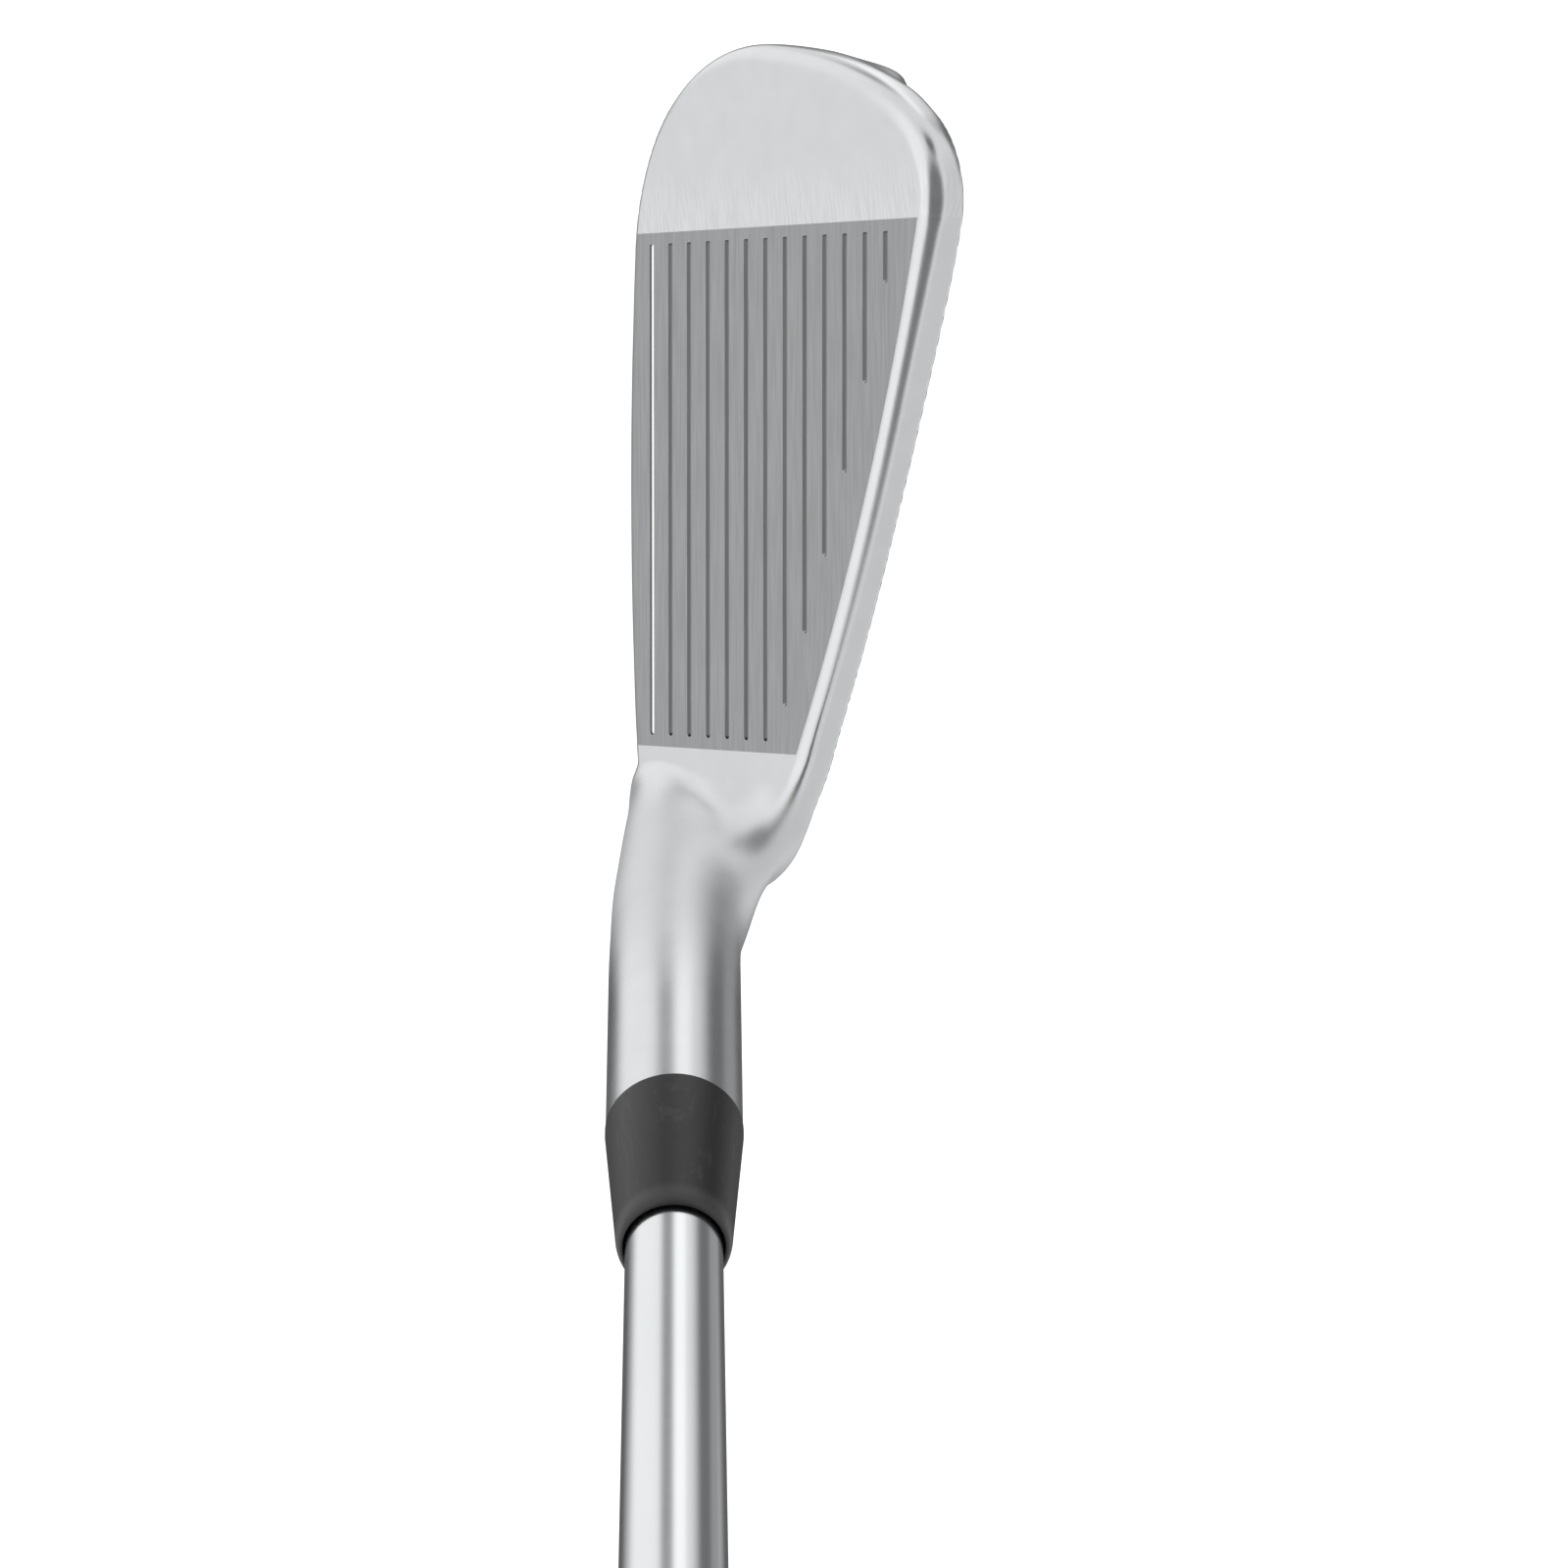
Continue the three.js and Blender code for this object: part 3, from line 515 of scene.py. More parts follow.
def soften(profile, reach, steps=3, closed=False):
    """A profile with each corner replaced by a short curve that starts reach away from it."""
    points = np.array(profile, float)
    softened = []
    last = len(points) - 1
    for i, corner in enumerate(points):
        if not closed and i in (0, last):
            softened.append(corner)
            continue
        before, after = points[i - 1], points[(i + 1) % len(points)]
        ends = []
        for other in (before, after):
            length = np.linalg.norm(other - corner)
            ends.append(corner + (other - corner) * min(reach / length, 0.45))
        softened.extend(curve_points(ends[0], corner, ends[1], steps + 1))
    return np.array(softened)


def turned(profile, count):
    """Rings round the shaft axis from (radius, along) pairs."""
    turn = np.linspace(0, 2 * math.pi, count, endpoint=False)
    return np.stack([from_shaft(along, radius, turn) for radius, along in profile])


def inset_outline(points, distance):
    """A closed outline moved inwards along its own corner normals."""
    before = points - np.roll(points, 1, axis=0)
    after = np.roll(points, -1, axis=0) - points
    before /= np.linalg.norm(before, axis=1, keepdims=True)
    after /= np.linalg.norm(after, axis=1, keepdims=True)
    middle = before + after
    middle /= np.linalg.norm(middle, axis=1, keepdims=True)
    inward = np.stack([-middle[:, 1], middle[:, 0]], axis=1)
    lean = np.maximum((middle * after).sum(1), 0.5)
    return points + inward * (distance / lean)[:, None]


def terraced(corners, reach, levels):
    """Rings on the face frame from (inset, depth) levels of one rounded outline."""
    points = soften(corners, reach, 6, closed=True)
    rings = []
    for inset, depth in levels:
        ring = inset_outline(points, inset)
        rings.append(from_face(ring[:, 0], ring[:, 1], depth))
    return np.array(rings)


# ---------- materials ----------

class Nodes:
    """A node tree built step by step."""

    def __init__(self, tree):
        self.tree = tree

    def node(self, kind, **settings):
        made = self.tree.nodes.new(kind)
        for key, value in settings.items():
            setattr(made, key, value)
        return made

    def link(self, value, socket):
        if isinstance(value, bpy.types.NodeSocket):
            self.tree.links.new(value, socket)
        elif hasattr(socket, "default_value"):
            socket.default_value = value

    def math(self, operation, a, b=0.0, c=0.0, clamp=False):
        made = self.node("ShaderNodeMath", operation=operation, use_clamp=clamp)
        for value, socket in zip((a, b, c), made.inputs):
            self.link(value, socket)
        return made.outputs[0]

    def smooth(self, value, low, high, start=0.0, end=1.0):
        made = self.node("ShaderNodeMapRange", interpolation_type="SMOOTHSTEP")
        for item, socket in zip((value, low, high, start, end), made.inputs):
            self.link(item, socket)
        return made.outputs[0]


class Finish(Nodes):
    """A material, with the shaded point in metres as its place."""

    def __init__(self, name, **sockets):
        self.material = bpy.data.materials.new(name)
        self.material.use_nodes = True
        super().__init__(self.material.node_tree)
        self.shader = self.tree.nodes["Principled BSDF"]
        for socket, value in sockets.items():
            self.shader.inputs[socket.replace("_", " ")].default_value = value
        self.place = self.node("ShaderNodeTexCoord").outputs["Object"]

    def along(self, direction, offset=0.0):
        """Distance of the shaded point along a direction, in metres."""
        made = self.node("ShaderNodeVectorMath", operation="DOT_PRODUCT")
        self.link(self.place, made.inputs[0])
        made.inputs[1].default_value = direction
        return self.math("ADD", made.outputs["Value"], -offset)

    def stretched(self, rotation, scale):
        """Object coordinates turned into another frame and scaled along its axes."""
        turned_place = self.node("ShaderNodeVectorRotate", rotation_type="EULER_XYZ")
        self.link(self.place, turned_place.inputs["Vector"])
        turned_place.inputs["Rotation"].default_value = rotation
        made = self.node("ShaderNodeVectorMath", operation="MULTIPLY")
        self.link(turned_place.outputs[0], made.inputs[0])
        made.inputs[1].default_value = scale
        return made.outputs[0]

    def noise(self, vector, scale, detail=3.0, roughness=0.55):
        made = self.node("ShaderNodeTexNoise")
        self.link(vector, made.inputs["Vector"])
        for name, value in (("Scale", scale), ("Detail", detail), ("Roughness", roughness)):
            made.inputs[name].default_value = value
        return made.outputs["Fac"]

    def voronoi(self, vector, scale, feature="F1"):
        made = self.node("ShaderNodeTexVoronoi", feature=feature)
        self.link(vector, made.inputs["Vector"])
        made.inputs["Scale"].default_value = scale
        return made.outputs["Distance"]

    def mix(self, factor, a, b):
        made = self.node("ShaderNodeMix", data_type="RGBA")
        self.link(factor, made.inputs["Factor"])
        self.link(a, made.inputs["A"])
        self.link(b, made.inputs["B"])
        return made.outputs["Result"]

    def colour(self, value):
        self.link(value, self.shader.inputs["Base Color"])

    def roughness(self, value):
        self.link(value, self.shader.inputs["Roughness"])

    def bump(self, height, distance, strength=1.0, normal=None):
        made = self.node("ShaderNodeBump")
        made.inputs["Strength"].default_value = strength
        made.inputs["Distance"].default_value = distance
        self.link(height, made.inputs["Height"])
        if normal is not None:
            self.link(normal, made.inputs["Normal"])
        self.link(made.outputs["Normal"], self.shader.inputs["Normal"])
        return made.outputs["Normal"]


def grey(value, tint=(1.0, 1.0, 1.0)):
    return (value * tint[0], value * tint[1], value * tint[2], 1.0)


COOL = (0.985, 1.0, 1.01)
FACE_UP = (math.sin(LOFT), 0, math.cos(LOFT))
FACE_BACK = (math.cos(LOFT), 0, -math.sin(LOFT))
FACE_UP_START = (LEAD_X * math.sin(LOFT) + LEAD_Z * math.cos(LOFT)) * MM
FACE_BACK_START = (LEAD_X * math.cos(LOFT) - LEAD_Z * math.sin(LOFT)) * MM
BLAST_UP = 3.2
BLAST_DEPTH = 1.3
MILLING_LEAN = 0.16
MILLING_REACH = 8.0
NECK_FINISH_START = 29.0
SHAFT_TURN = (-math.pi / 2 + LIE, 0, 0)


def steel_parts(finish):
    """Fine streaks along the heel-to-toe direction and a soft cast unevenness, both 0 to 1."""
    streaks = finish.noise(finish.stretched((0, 0, 0), (1.0, 0.03, 1.0)), 4200, 3.0)
    streaks = finish.smooth(streaks, 0.32, 0.68)
    cloud = finish.noise(finish.place, 260, 3.0)
    return streaks, cloud


def blasted_look(finish):
    streaks, cloud = steel_parts(finish)
    grains = finish.noise(finish.place, 14000, 2.0)
    tone = finish.mix(streaks, grey(0.295, COOL), grey(0.37, COOL))
    tone = finish.mix(finish.math("MULTIPLY", cloud, 0.35), tone, grey(0.36, COOL))
    height = finish.math("ADD", finish.math("MULTIPLY", streaks, 0.5), finish.math("MULTIPLY", grains, 0.5))
    return tone, height


def milled_share(finish, inside_toe):
    """Fine slanted cuts on the toe next to the plate, fading out away from it."""
    cuts = finish.noise(finish.stretched((MILLING_LEAN, 0, 0), (0, 0.07, 1.0)), 3600, 1.0)
    near_plate = finish.smooth(inside_toe, -MILLING_REACH * MM, 0.0)
    beyond_plate = finish.smooth(inside_toe, 0.0001, -0.0001)
    zone = finish.math("MULTIPLY", finish.math("MULTIPLY", near_plate, beyond_plate), 0.6)
    return finish.math("MULTIPLY", finish.smooth(cuts, 0.4, 0.6), zone)


def neck_share(finish):
    """Where the neck has a softer finish than the rest of the head."""
    below_plate = finish.along((0, -1, 0), NECK_FINISH_START * MM)
    fade_in = finish.smooth(below_plate, 0.0, 0.006)
    return finish.math("MULTIPLY", fade_in, finish.smooth(below_plate, 0.024, 0.012))


def head_finish():
    """Satin steel, with the blasted zone carried on round the plate's leading edge."""
    finish = Finish("satin_cast_steel", Metallic=1.0)
    streaks, cloud = steel_parts(finish)
    blasted_tone, blasted_height = blasted_look(finish)
    heel = finish.along((0, 1, 0), PLATE_HEEL * MM)
    toe = finish.along((0, -1, 0), -PLATE_TOE * MM)
    low = finish.along((-FACE_UP[0], 0, -FACE_UP[2]), -FACE_UP_START - BLAST_UP * MM)
    front = finish.along((-FACE_BACK[0], 0, -FACE_BACK[2]), -FACE_BACK_START - BLAST_DEPTH * MM)
    inside = finish.math("MINIMUM", finish.math("MINIMUM", heel, toe), finish.math("MINIMUM", low, front))
    mask = finish.smooth(inside, -0.00003, 0.00003)
    satin = finish.mix(cloud, grey(0.62, COOL), grey(0.69, COOL))
    satin = finish.mix(milled_share(finish, toe), satin, grey(0.74, COOL))
    finish.colour(finish.mix(mask, satin, blasted_tone))
    rough = finish.math("ADD", finish.math("MULTIPLY", cloud, 0.05), 0.19)
    rough = finish.math("MULTIPLY_ADD", neck_share(finish), 0.26, rough)
    finish.roughness(finish.math("ADD", rough, finish.math("MULTIPLY", mask, 0.2)))
    fine = finish.math("MULTIPLY", streaks, finish.math("SUBTRACT", 1.0, mask))
    bump = finish.bump(finish.math("ADD", fine, finish.math("MULTIPLY", blasted_height, mask)), 0.000004, 0.5)
    finish.bump(cloud, 0.00002, 0.2, bump)
    return finish.material


def plate_finish():
    """Blasted steel. The grooves carry painted shade: a dark non-metal grey above a metal lower wall, with
    painted black shadow at the groove ends.
    """
    finish = Finish("blasted_face", Specular_IOR_Level=0.1)
    tone, height = blasted_look(finish)
    depth = finish.along(FACE_BACK, FACE_BACK_START)
    above_back = finish.smooth(depth, 0.0007, 0.0006)
    in_groove = finish.math("MULTIPLY", finish.smooth(depth, 0.00002, 0.00008), above_back)
    up = finish.along(FACE_UP, FACE_UP_START + GROOVE_FIRST * MM)
    share = finish.math("FRACT", finish.math("MULTIPLY_ADD", up, 1 / (GROOVE_PITCH * MM), 0.5))
    # Painted shade: across the middle and upper side of each groove the colour turns dark, standing in for
    # the shadow inside it. The lower wall keeps the metal tone.
    shade = finish.smooth(share, 0.45, 0.475)
    groove = finish.mix(shade, grey(0.46, COOL), grey(0.075, COOL))
    # The painted shade is a matt non-metal, so it stays dark whatever the groove reflects.
    painted_groove_shade = finish.math("MULTIPLY", in_groove, shade)
    finish.link(finish.math("SUBTRACT", 1.0, painted_groove_shade), finish.shader.inputs["Metallic"])
    # Painted shadow: the groove ends turn near black.
    toe_end = finish.along((0, 1, 0), (GROOVE_TOE - GROOVE_HALF_WIDTH) * MM)
    heel_end = finish.along((0, -1, 0), -(GROOVE_HEEL + GROOVE_HALF_WIDTH) * MM)
    end = finish.smooth(finish.math("MAXIMUM", toe_end, heel_end), -0.0001, 0.0002)
    groove = finish.mix(end, groove, grey(0.012))
    finish.colour(finish.mix(in_groove, tone, groove))
    finish.roughness(finish.math("ADD", finish.math("MULTIPLY", height, 0.1), 0.36))
    finish.bump(height, 0.000006, 0.6)
    return finish.material


def enamel_finish():
    finish = Finish("white_enamel", Roughness=0.45)
    speck = finish.noise(finish.place, 7000, 2.0)
    finish.colour(finish.mix(speck, grey(0.9), grey(0.98)))
    finish.bump(speck, 0.00001, 0.4)
    # Painted glow: the enamel gives off a little light of its own, so it reads brighter than the lamps make
    # it.
    finish.shader.inputs["Emission Color"].default_value = grey(1.0)
    finish.shader.inputs["Emission Strength"].default_value = 0.25
    return finish.material


def chrome_finish():
    finish = Finish("polished_chrome", Metallic=1.0)
    ripple = finish.noise(finish.stretched(SHAFT_TURN, (1.0, 0.04, 1.0)), 900, 2.0)
    cloud = finish.noise(finish.place, 60, 3.0)
    finish.colour(finish.mix(cloud, grey(0.70, COOL), grey(0.75, COOL)))
    finish.roughness(finish.math("ADD", finish.math("MULTIPLY", ripple, 0.05), 0.13))
    finish.bump(ripple, 0.00001, 0.12)
    return finish.material


def ferrule_finish():
    finish = Finish("turned_black_plastic", Specular_IOR_Level=0.3)
    rings = finish.noise(finish.stretched(SHAFT_TURN, (0.05, 1.0, 0.05)), 5200, 3.0)
    scuffs = finish.noise(finish.stretched(SHAFT_TURN, (0.12, 1.0, 0.12)), 1500, 4.0, 0.7)
    scuffs = finish.smooth(scuffs, 0.56, 0.7)
    speck = finish.noise(finish.place, 2600, 3.0)
    tone = finish.mix(speck, grey(0.008), grey(0.014))
    tone = finish.mix(finish.math("MULTIPLY", scuffs, 0.5), tone, grey(0.04))
    # Painted highlight: the base colour lightens over the last two millimetres before the mouth, where the
    # rounded lip catches the light.
    up_shaft = finish.along((0, -math.cos(LIE), math.sin(LIE)), (HOSEL_TOP - AXIS_Y * math.cos(LIE)) * MM)
    lip = finish.smooth(up_shaft, 0.0172, 0.0192)
    finish.colour(finish.mix(finish.math("MULTIPLY", lip, 0.7), tone, grey(0.05)))
    finish.roughness(finish.math("ADD", finish.math("MULTIPLY", rings, 0.16), 0.3))
    finish.bump(rings, 0.00003, 0.35)
    return finish.material


def rubber_finish(name, base, pattern_scale):
    finish = Finish(name, Specular_IOR_Level=0.4)
    pores = finish.noise(finish.place, pattern_scale, 4.0, 0.7)
    dust = finish.noise(finish.place, 90, 3.0)
    tone = finish.mix(pores, grey(base * 0.75), grey(base * 1.3))
    finish.colour(finish.mix(finish.math("MULTIPLY", dust, 0.3), tone, grey(base * 1.6)))
    finish.roughness(finish.math("ADD", finish.math("MULTIPLY", pores, 0.25), 0.55))
    finish.bump(pores, 0.00008, 0.5)
    return finish.material


def brushed_finish(name, low, high, rough):
    finish = Finish(name, Metallic=1.0)
    lines = finish.noise(finish.stretched((0, 0, 0), (1.0, 0.015, 1.0)), 5200, 3.0)
    cloud = finish.noise(finish.place, 180, 2.0)
    finish.colour(finish.mix(lines, grey(low, COOL), grey(high, COOL)))
    finish.roughness(finish.math("ADD", finish.math("MULTIPLY", cloud, 0.1), rough))
    finish.bump(lines, 0.00001, 0.5)
    return finish.material


def mottled_finish(name, low, high, scale, rough, metallic=0.0, bump=0.00005):
    finish = Finish(name, Metallic=metallic)
    grains = finish.noise(finish.place, scale, 4.0, 0.65)
    cells = finish.voronoi(finish.place, scale * 0.7)
    finish.colour(finish.mix(finish.math("MULTIPLY", grains, 1.0, clamp=True), low, high))
    finish.roughness(finish.math("ADD", finish.math("MULTIPLY", cells, 0.2), rough))
    finish.bump(finish.math("ADD", grains, cells), bump, 0.5)
    return finish.material


# ---------- the head ----------

def make_head(material):
    step = 0.5
    points, quads = surface_net(head_field, (-13, -69, -1.5), (30, 50, 67), step)
    normals = field_normals(head_field, points, 0.05)
    normals /= np.maximum(np.linalg.norm(normals, axis=1, keepdims=True), 1e-9)
    return add_mesh("iron_head", points, quads, "head_body", material, normals=normals)


# ---------- face plate ----------

GROOVE_COUNT = 13
GROOVE_PITCH = 3.556
GROOVE_FIRST = 4.0
GROOVE_HALF_WIDTH = 0.45
GROOVE_DEPTH = 0.45
GROOVE_TOE = 26.4
GROOVE_HEEL = -26.5
GROOVE_TOP_ROOM = ((-28.0, -12.0, 4.0, 21.0), (4.55, 4.8, 4.55, 3.82))  # along, below the top edge
LIP_HEIGHT = 0.02
ENAMEL_INSET = 0.09


def groove_heel_end(up):
    """Each groove stops at the heel border or a little way below the sloping top edge."""
    edge = top_edge(400)[::-1]
    room = np.interp(edge[:, 0], *GROOVE_TOP_ROOM)
    return max(GROOVE_HEEL, np.interp(up, edge[:, 1] - room, edge[:, 0]))


def groove_lines():
    """(height up the face, heel end, toe end) of each groove's middle line."""
    lines = []
    for i in range(GROOVE_COUNT):
        up = GROOVE_FIRST + i * GROOVE_PITCH
        lines.append((up, groove_heel_end(up) + GROOVE_HALF_WIDTH, GROOVE_TOE - GROOVE_HALF_WIDTH))
    return lines


def groove_depth(along, up):
    """Depth below the face at a place: steep walls with a soft top edge and a rounded floor."""
    depth = np.zeros(np.broadcast(along, up).shape)
    for middle, heel, toe in groove_lines():
        past_end = np.maximum(heel - along, along - toe)
        away = np.hypot(np.maximum(past_end, 0), up - middle)
        depth = np.maximum(depth, GROOVE_DEPTH * (1 - ramp(away, 0.05, GROOVE_HALF_WIDTH)))
    return depth


def spread(low, high, step):
    return np.linspace(low, high, max(2, int(round((high - low) / step)) + 1))


def plate_lines():
    """Grid lines along and up the face, close together where a groove needs them."""
    near_end = spread(-0.55, 0.55, 0.1)
    along = [spread(PLATE_HEEL, PLATE_TOE, 0.9), GROOVE_TOE - GROOVE_HALF_WIDTH + near_end]
    across = np.array([-0.7, -0.5, -0.44, -0.38, -0.32, -0.26, -0.12, 0.0])
    up = [spread(0, 54, 0.9)]
    for middle, heel, _ in groove_lines():
        along.append(heel + near_end)
        up.append(middle + across)
        up.append(middle - across)
    lines = []
    for values in (np.concatenate(along), np.concatenate(up)):
        values = np.unique(np.round(values, 3))
        lines.append(values[np.concatenate([[True], np.diff(values) > 0.03])])
    return lines


def plate_top(along):
    edge = top_edge(400)[::-1]
    beyond = arc_points(TOP_CORNER_ARC, TOP_ARC_END, math.radians(80), 20)
    edge = np.concatenate([edge, beyond[1:]])
    return np.interp(along, edge[:, 0], edge[:, 1])


def make_face_plate(material):
    along, up = plate_lines()
    along = along[(along >= PLATE_HEEL) & (along <= PLATE_TOE)]
    along[0], along[-1] = PLATE_HEEL, PLATE_TOE
    inset = 0.04
    a, u = np.meshgrid(along, up, indexing="ij")
    u = np.clip(u, (lead_height(along) + inset)[:, None], (plate_top(along) - inset)[:, None])
    depth = groove_depth(a, u) - LIP_HEIGHT
    top = from_face(a, u, depth)
    columns, rows = a.shape
    number = np.arange(columns * rows).reshape(columns, rows)
    faces = []
    for i in range(columns - 1):
        for j in range(rows - 1):
            if u[i, j + 1] - u[i, j] < 1e-6 and u[i + 1, j + 1] - u[i + 1, j] < 1e-6:
                continue
            faces.append((number[i, j], number[i + 1, j], number[i + 1, j + 1], number[i, j + 1]))
    points = top.reshape(-1, 3)
    bottom_row = [(a[i, 0], u[i, 0], number[i, 0]) for i in range(columns)]
    toe_side = [(a[-1, j], u[-1, j], number[-1, j]) for j in range(1, rows)]
    top_row = [(a[i, -1], u[i, -1], number[i, -1]) for i in range(columns - 2, -1, -1)]
    heel_side = [(a[0, j], u[0, j], number[0, j]) for j in range(rows - 2, 0, -1)]
    loop = bottom_row + toe_side + top_row + heel_side
    kept = []
    for place in loop:
        if not kept or math.hypot(place[0] - kept[-1][0], place[1] - kept[-1][1]) > 1e-5:
            kept.append(place)
    border = np.array([(p[0], p[1]) for p in kept])
    first = [p[2] for p in kept]
    count = len(kept)
    middle_a = (PLATE_HEEL + PLATE_TOE) / 2
    body_half = (PLATE_TOE - PLATE_HEEL) / 2 - PLATE_LIP - 0.1
    inner_a = np.clip(border[:, 0], middle_a - body_half, middle_a + body_half)
    low_inner = lead_height(inner_a) + PLATE_LIP + 0.2
    high_inner = plate_top(inner_a) - PLATE_LIP - 0.2
    inner_u = np.clip(border[:, 1], low_inner, high_inner)
    under = [
        from_face(border[:, 0], border[:, 1], -0.004),
        from_face(inner_a, inner_u, -0.004),
        from_face(inner_a, inner_u, PLATE_DEPTH - 0.1),
    ]
    rings = [np.array(first)]
    start = len(points)
    for ring in under:
        rings.append(np.arange(start, start + count))
        start += count
    for outer, inner in zip(rings, rings[1:]):
        for i in range(count):
            j = (i + 1) % count
            faces.append((outer[j], outer[i], inner[i], inner[j]))
    faces.append(tuple(rings[-1][::-1]))
    points = np.concatenate([points] + under)
    return add_mesh("grooved_face_plate", points, faces, "face_plate", material, 40)


def make_groove_paint(material):
    """Enamel that fills the lowest groove to half its depth."""
    up, heel, toe = groove_lines()[0]
    half = GROOVE_HALF_WIDTH - ENAMEL_INSET
    ends = np.linspace(-math.pi / 2, math.pi / 2, 13)
    border = np.concatenate([
        np.stack([toe + half * np.cos(ends), up + half * np.sin(ends)], axis=1),
        np.stack([heel - half * np.cos(ends), up - half * np.sin(ends)], axis=1),
    ])
    levels = ((0.12, 0.44), (0.06, 0.34), (0.0, 0.24), (0.03, 0.215), (0.1, 0.205))
    rings = []
    for inset, depth in levels:
        ring = inset_outline(border, inset)
        rings.append(from_face(ring[:, 0], ring[:, 1], depth))
    points, faces = loft(rings)
    return add_mesh("groove_enamel", points, faces, "groove_paint", material, 50)


# ---------- what the back holds ----------

FIT = 0.1
BADGE_REACH = 3.0
BAR_REACH = 0.7
PLUG_HEAD = 36.0
PLUG_SOCKET = 1.5
SLUG_TOP = 16.2
BADGE_CORNERS = ((-23, 17.2), (25, 17.2), (32, 24.6), (30, 33), (-1, 31), (-23, 24))
BAR_CORNERS = ((-17, 20.4), (24, 20.4), (27.4, 24), (-17, 22.6))
DAMPER_LEVELS = ((0.9, 3.1), (0.6, 3.4), (0.6, 5.8), (0.9, 6.1))
TAPE_LEVELS = ((0.9, 6.2), (0.9, 6.6))
BADGE_LEVELS = (
    (0.3, 6.7), (0.0, 6.9), (0.0, 7.6), (0.08, 7.78), (0.3, 7.88), (1.3, 7.88), (1.5, 7.82), (1.62, 7.6),
)
BAR_LEVELS = ((0.1, 7.62), (0.0, 7.72), (0.0, 8.35), (0.06, 8.46), (0.2, 8.5))


def make_terraced(name, node, corners, levels, material, reach=BADGE_REACH):
    points, faces = loft(terraced(corners, reach, levels))
    return add_mesh(name, points, faces, node, material, 35)


def make_toe_weight(material):
    """A round plug with a six-sided socket, its axis running from the toe into the head."""
    middle_up, middle_depth, port_radius, port_floor = TOE_PORT
    radius = port_radius - FIT
    head = PLUG_HEAD
    turn = np.linspace(0, 2 * math.pi, 72, endpoint=False)
    flat = np.mod(turn, math.pi / 3) - math.pi / 6
    hexagon = PLUG_SOCKET / np.cos(flat)
    levels = (
        (radius - 0.5, port_floor + FIT), (radius, port_floor + 0.6), (radius, head - 0.45),
        (radius - 0.12, head - 0.15), (radius - 0.4, head), (2.2, head), (hexagon + 0.12, head),
        (hexagon, head - 0.12), (hexagon, head - 2.4), (hexagon * 0.5, head - 2.7),
    )
    rings = []
    for size, along in levels:
        rings.append(from_face(along, middle_up + size * np.cos(turn), middle_depth + size * np.sin(turn)))
    points, faces = loft(rings)
    return add_mesh("toe_weight_plug", points, faces, "toe_weight", material, 30)


def make_sole_weight(material):
    """A slug with rounded corners in the slot of the sole flange."""
    heel, toe, near, far, low = SOLE_SLOT
    heel, toe, near, far = heel + FIT, toe - FIT, near + FIT, far - FIT
    border = soften(((heel, near), (toe, near), (toe, far), (heel, far)), 1.5, 6, closed=True)
    top = SLUG_TOP
    levels = ((0.3, low + FIT), (0.0, low + 0.4), (0.0, top - 0.35), (0.1, top - 0.1), (0.35, top))
    rings = []
    for inset, up in levels:
        ring = inset_outline(border, inset)
        rings.append(from_face(ring[:, 0], up, ring[:, 1]))
    points, faces = loft(rings)
    return add_mesh("sole_weight_bar", points, faces, "sole_weight", material, 30)


# ---------- the shaft and what is on it ----------

FERRULE_MOUTH = HOSEL_TOP + 20.6
TIP_STOP = BORE_BOTTOM + 1
TIP_RADIUS = 4.5
MOUTH_SHAFT_RADIUS = 4.72
TAPER_END_RADIUS = 5.15
SHAFT_WALL = 0.45
STEP_START = 215.0
STEP_PITCH = 38.0
STEP_COUNT = 12
FIRST_STEP_RADIUS = 5.3
BUTT_RADIUS = 7.62
SHAFT_BUTT = 935.9
CLUB_LENGTH = 940.0
GRIP_MOUTH = 673.0
GRIP_END = 934.0
BAND = (637.0, 667.0)
SPIRAL_STARTS = 14
SPIRAL_PITCH = 62.0
SPIRAL_DEPTH = 0.42
RING_PITCH = 3.2
RING_DEPTH = 0.4
CROSSED_FIELDS = ((16, 112), (126, 214))
RINGED_FIELDS = ((3, 12.6), (115.5, 122), (219, 244.6))


def make_turned(name, node, profile, count, material, sharp=35):
    points, faces = loft(turned(profile, count), closed=True)
    return add_mesh(name, points, faces, node, material, sharp)


def make_ferrule(material):
    """A tapered sleeve with a rounded lip, and a thin skirt that covers the end of the hosel."""
    foot, mouth = HOSEL_TOP, FERRULE_MOUTH
    lip = curve_points((5.72, mouth - 2.3), (5.64, mouth - 0.1), (5.1, mouth), 12)
    outer = [(6.78, foot), (6.86, foot + 0.1), (6.86, foot + 0.9), *lip]
    inner = [(4.98, mouth - 0.1), (4.92, mouth - 0.45), (4.86, mouth - 3)]
    skirt = [(4.82, foot + 0.6), (6.4, foot + 0.6)]
    profile = outer + inner + skirt
    return make_turned("tapered_ferrule", "ferrule", profile, 128, material)


def shaft_profile():
    rise = (BUTT_RADIUS - FIRST_STEP_RADIUS) / (STEP_COUNT - 1)
    outer = [(TIP_RADIUS, TIP_STOP), (MOUTH_SHAFT_RADIUS, FERRULE_MOUTH), (TAPER_END_RADIUS, STEP_START)]
    for i in range(STEP_COUNT):
        start = STEP_START + i * STEP_PITCH
        end = SHAFT_BUTT if i == STEP_COUNT - 1 else start + STEP_PITCH
        outer += [(FIRST_STEP_RADIUS + i * rise, start + 0.9), (FIRST_STEP_RADIUS + i * rise, end)]
    return outer


def make_shaft(material):
    outer = soften(shaft_profile(), 0.35, 3)
    inner = [(radius - SHAFT_WALL, along) for radius, along in reversed(shaft_profile())]
    profile = np.concatenate([outer, np.array(inner)])
    return make_turned("stepped_shaft", "shaft", profile, 96, material, sharp=50)


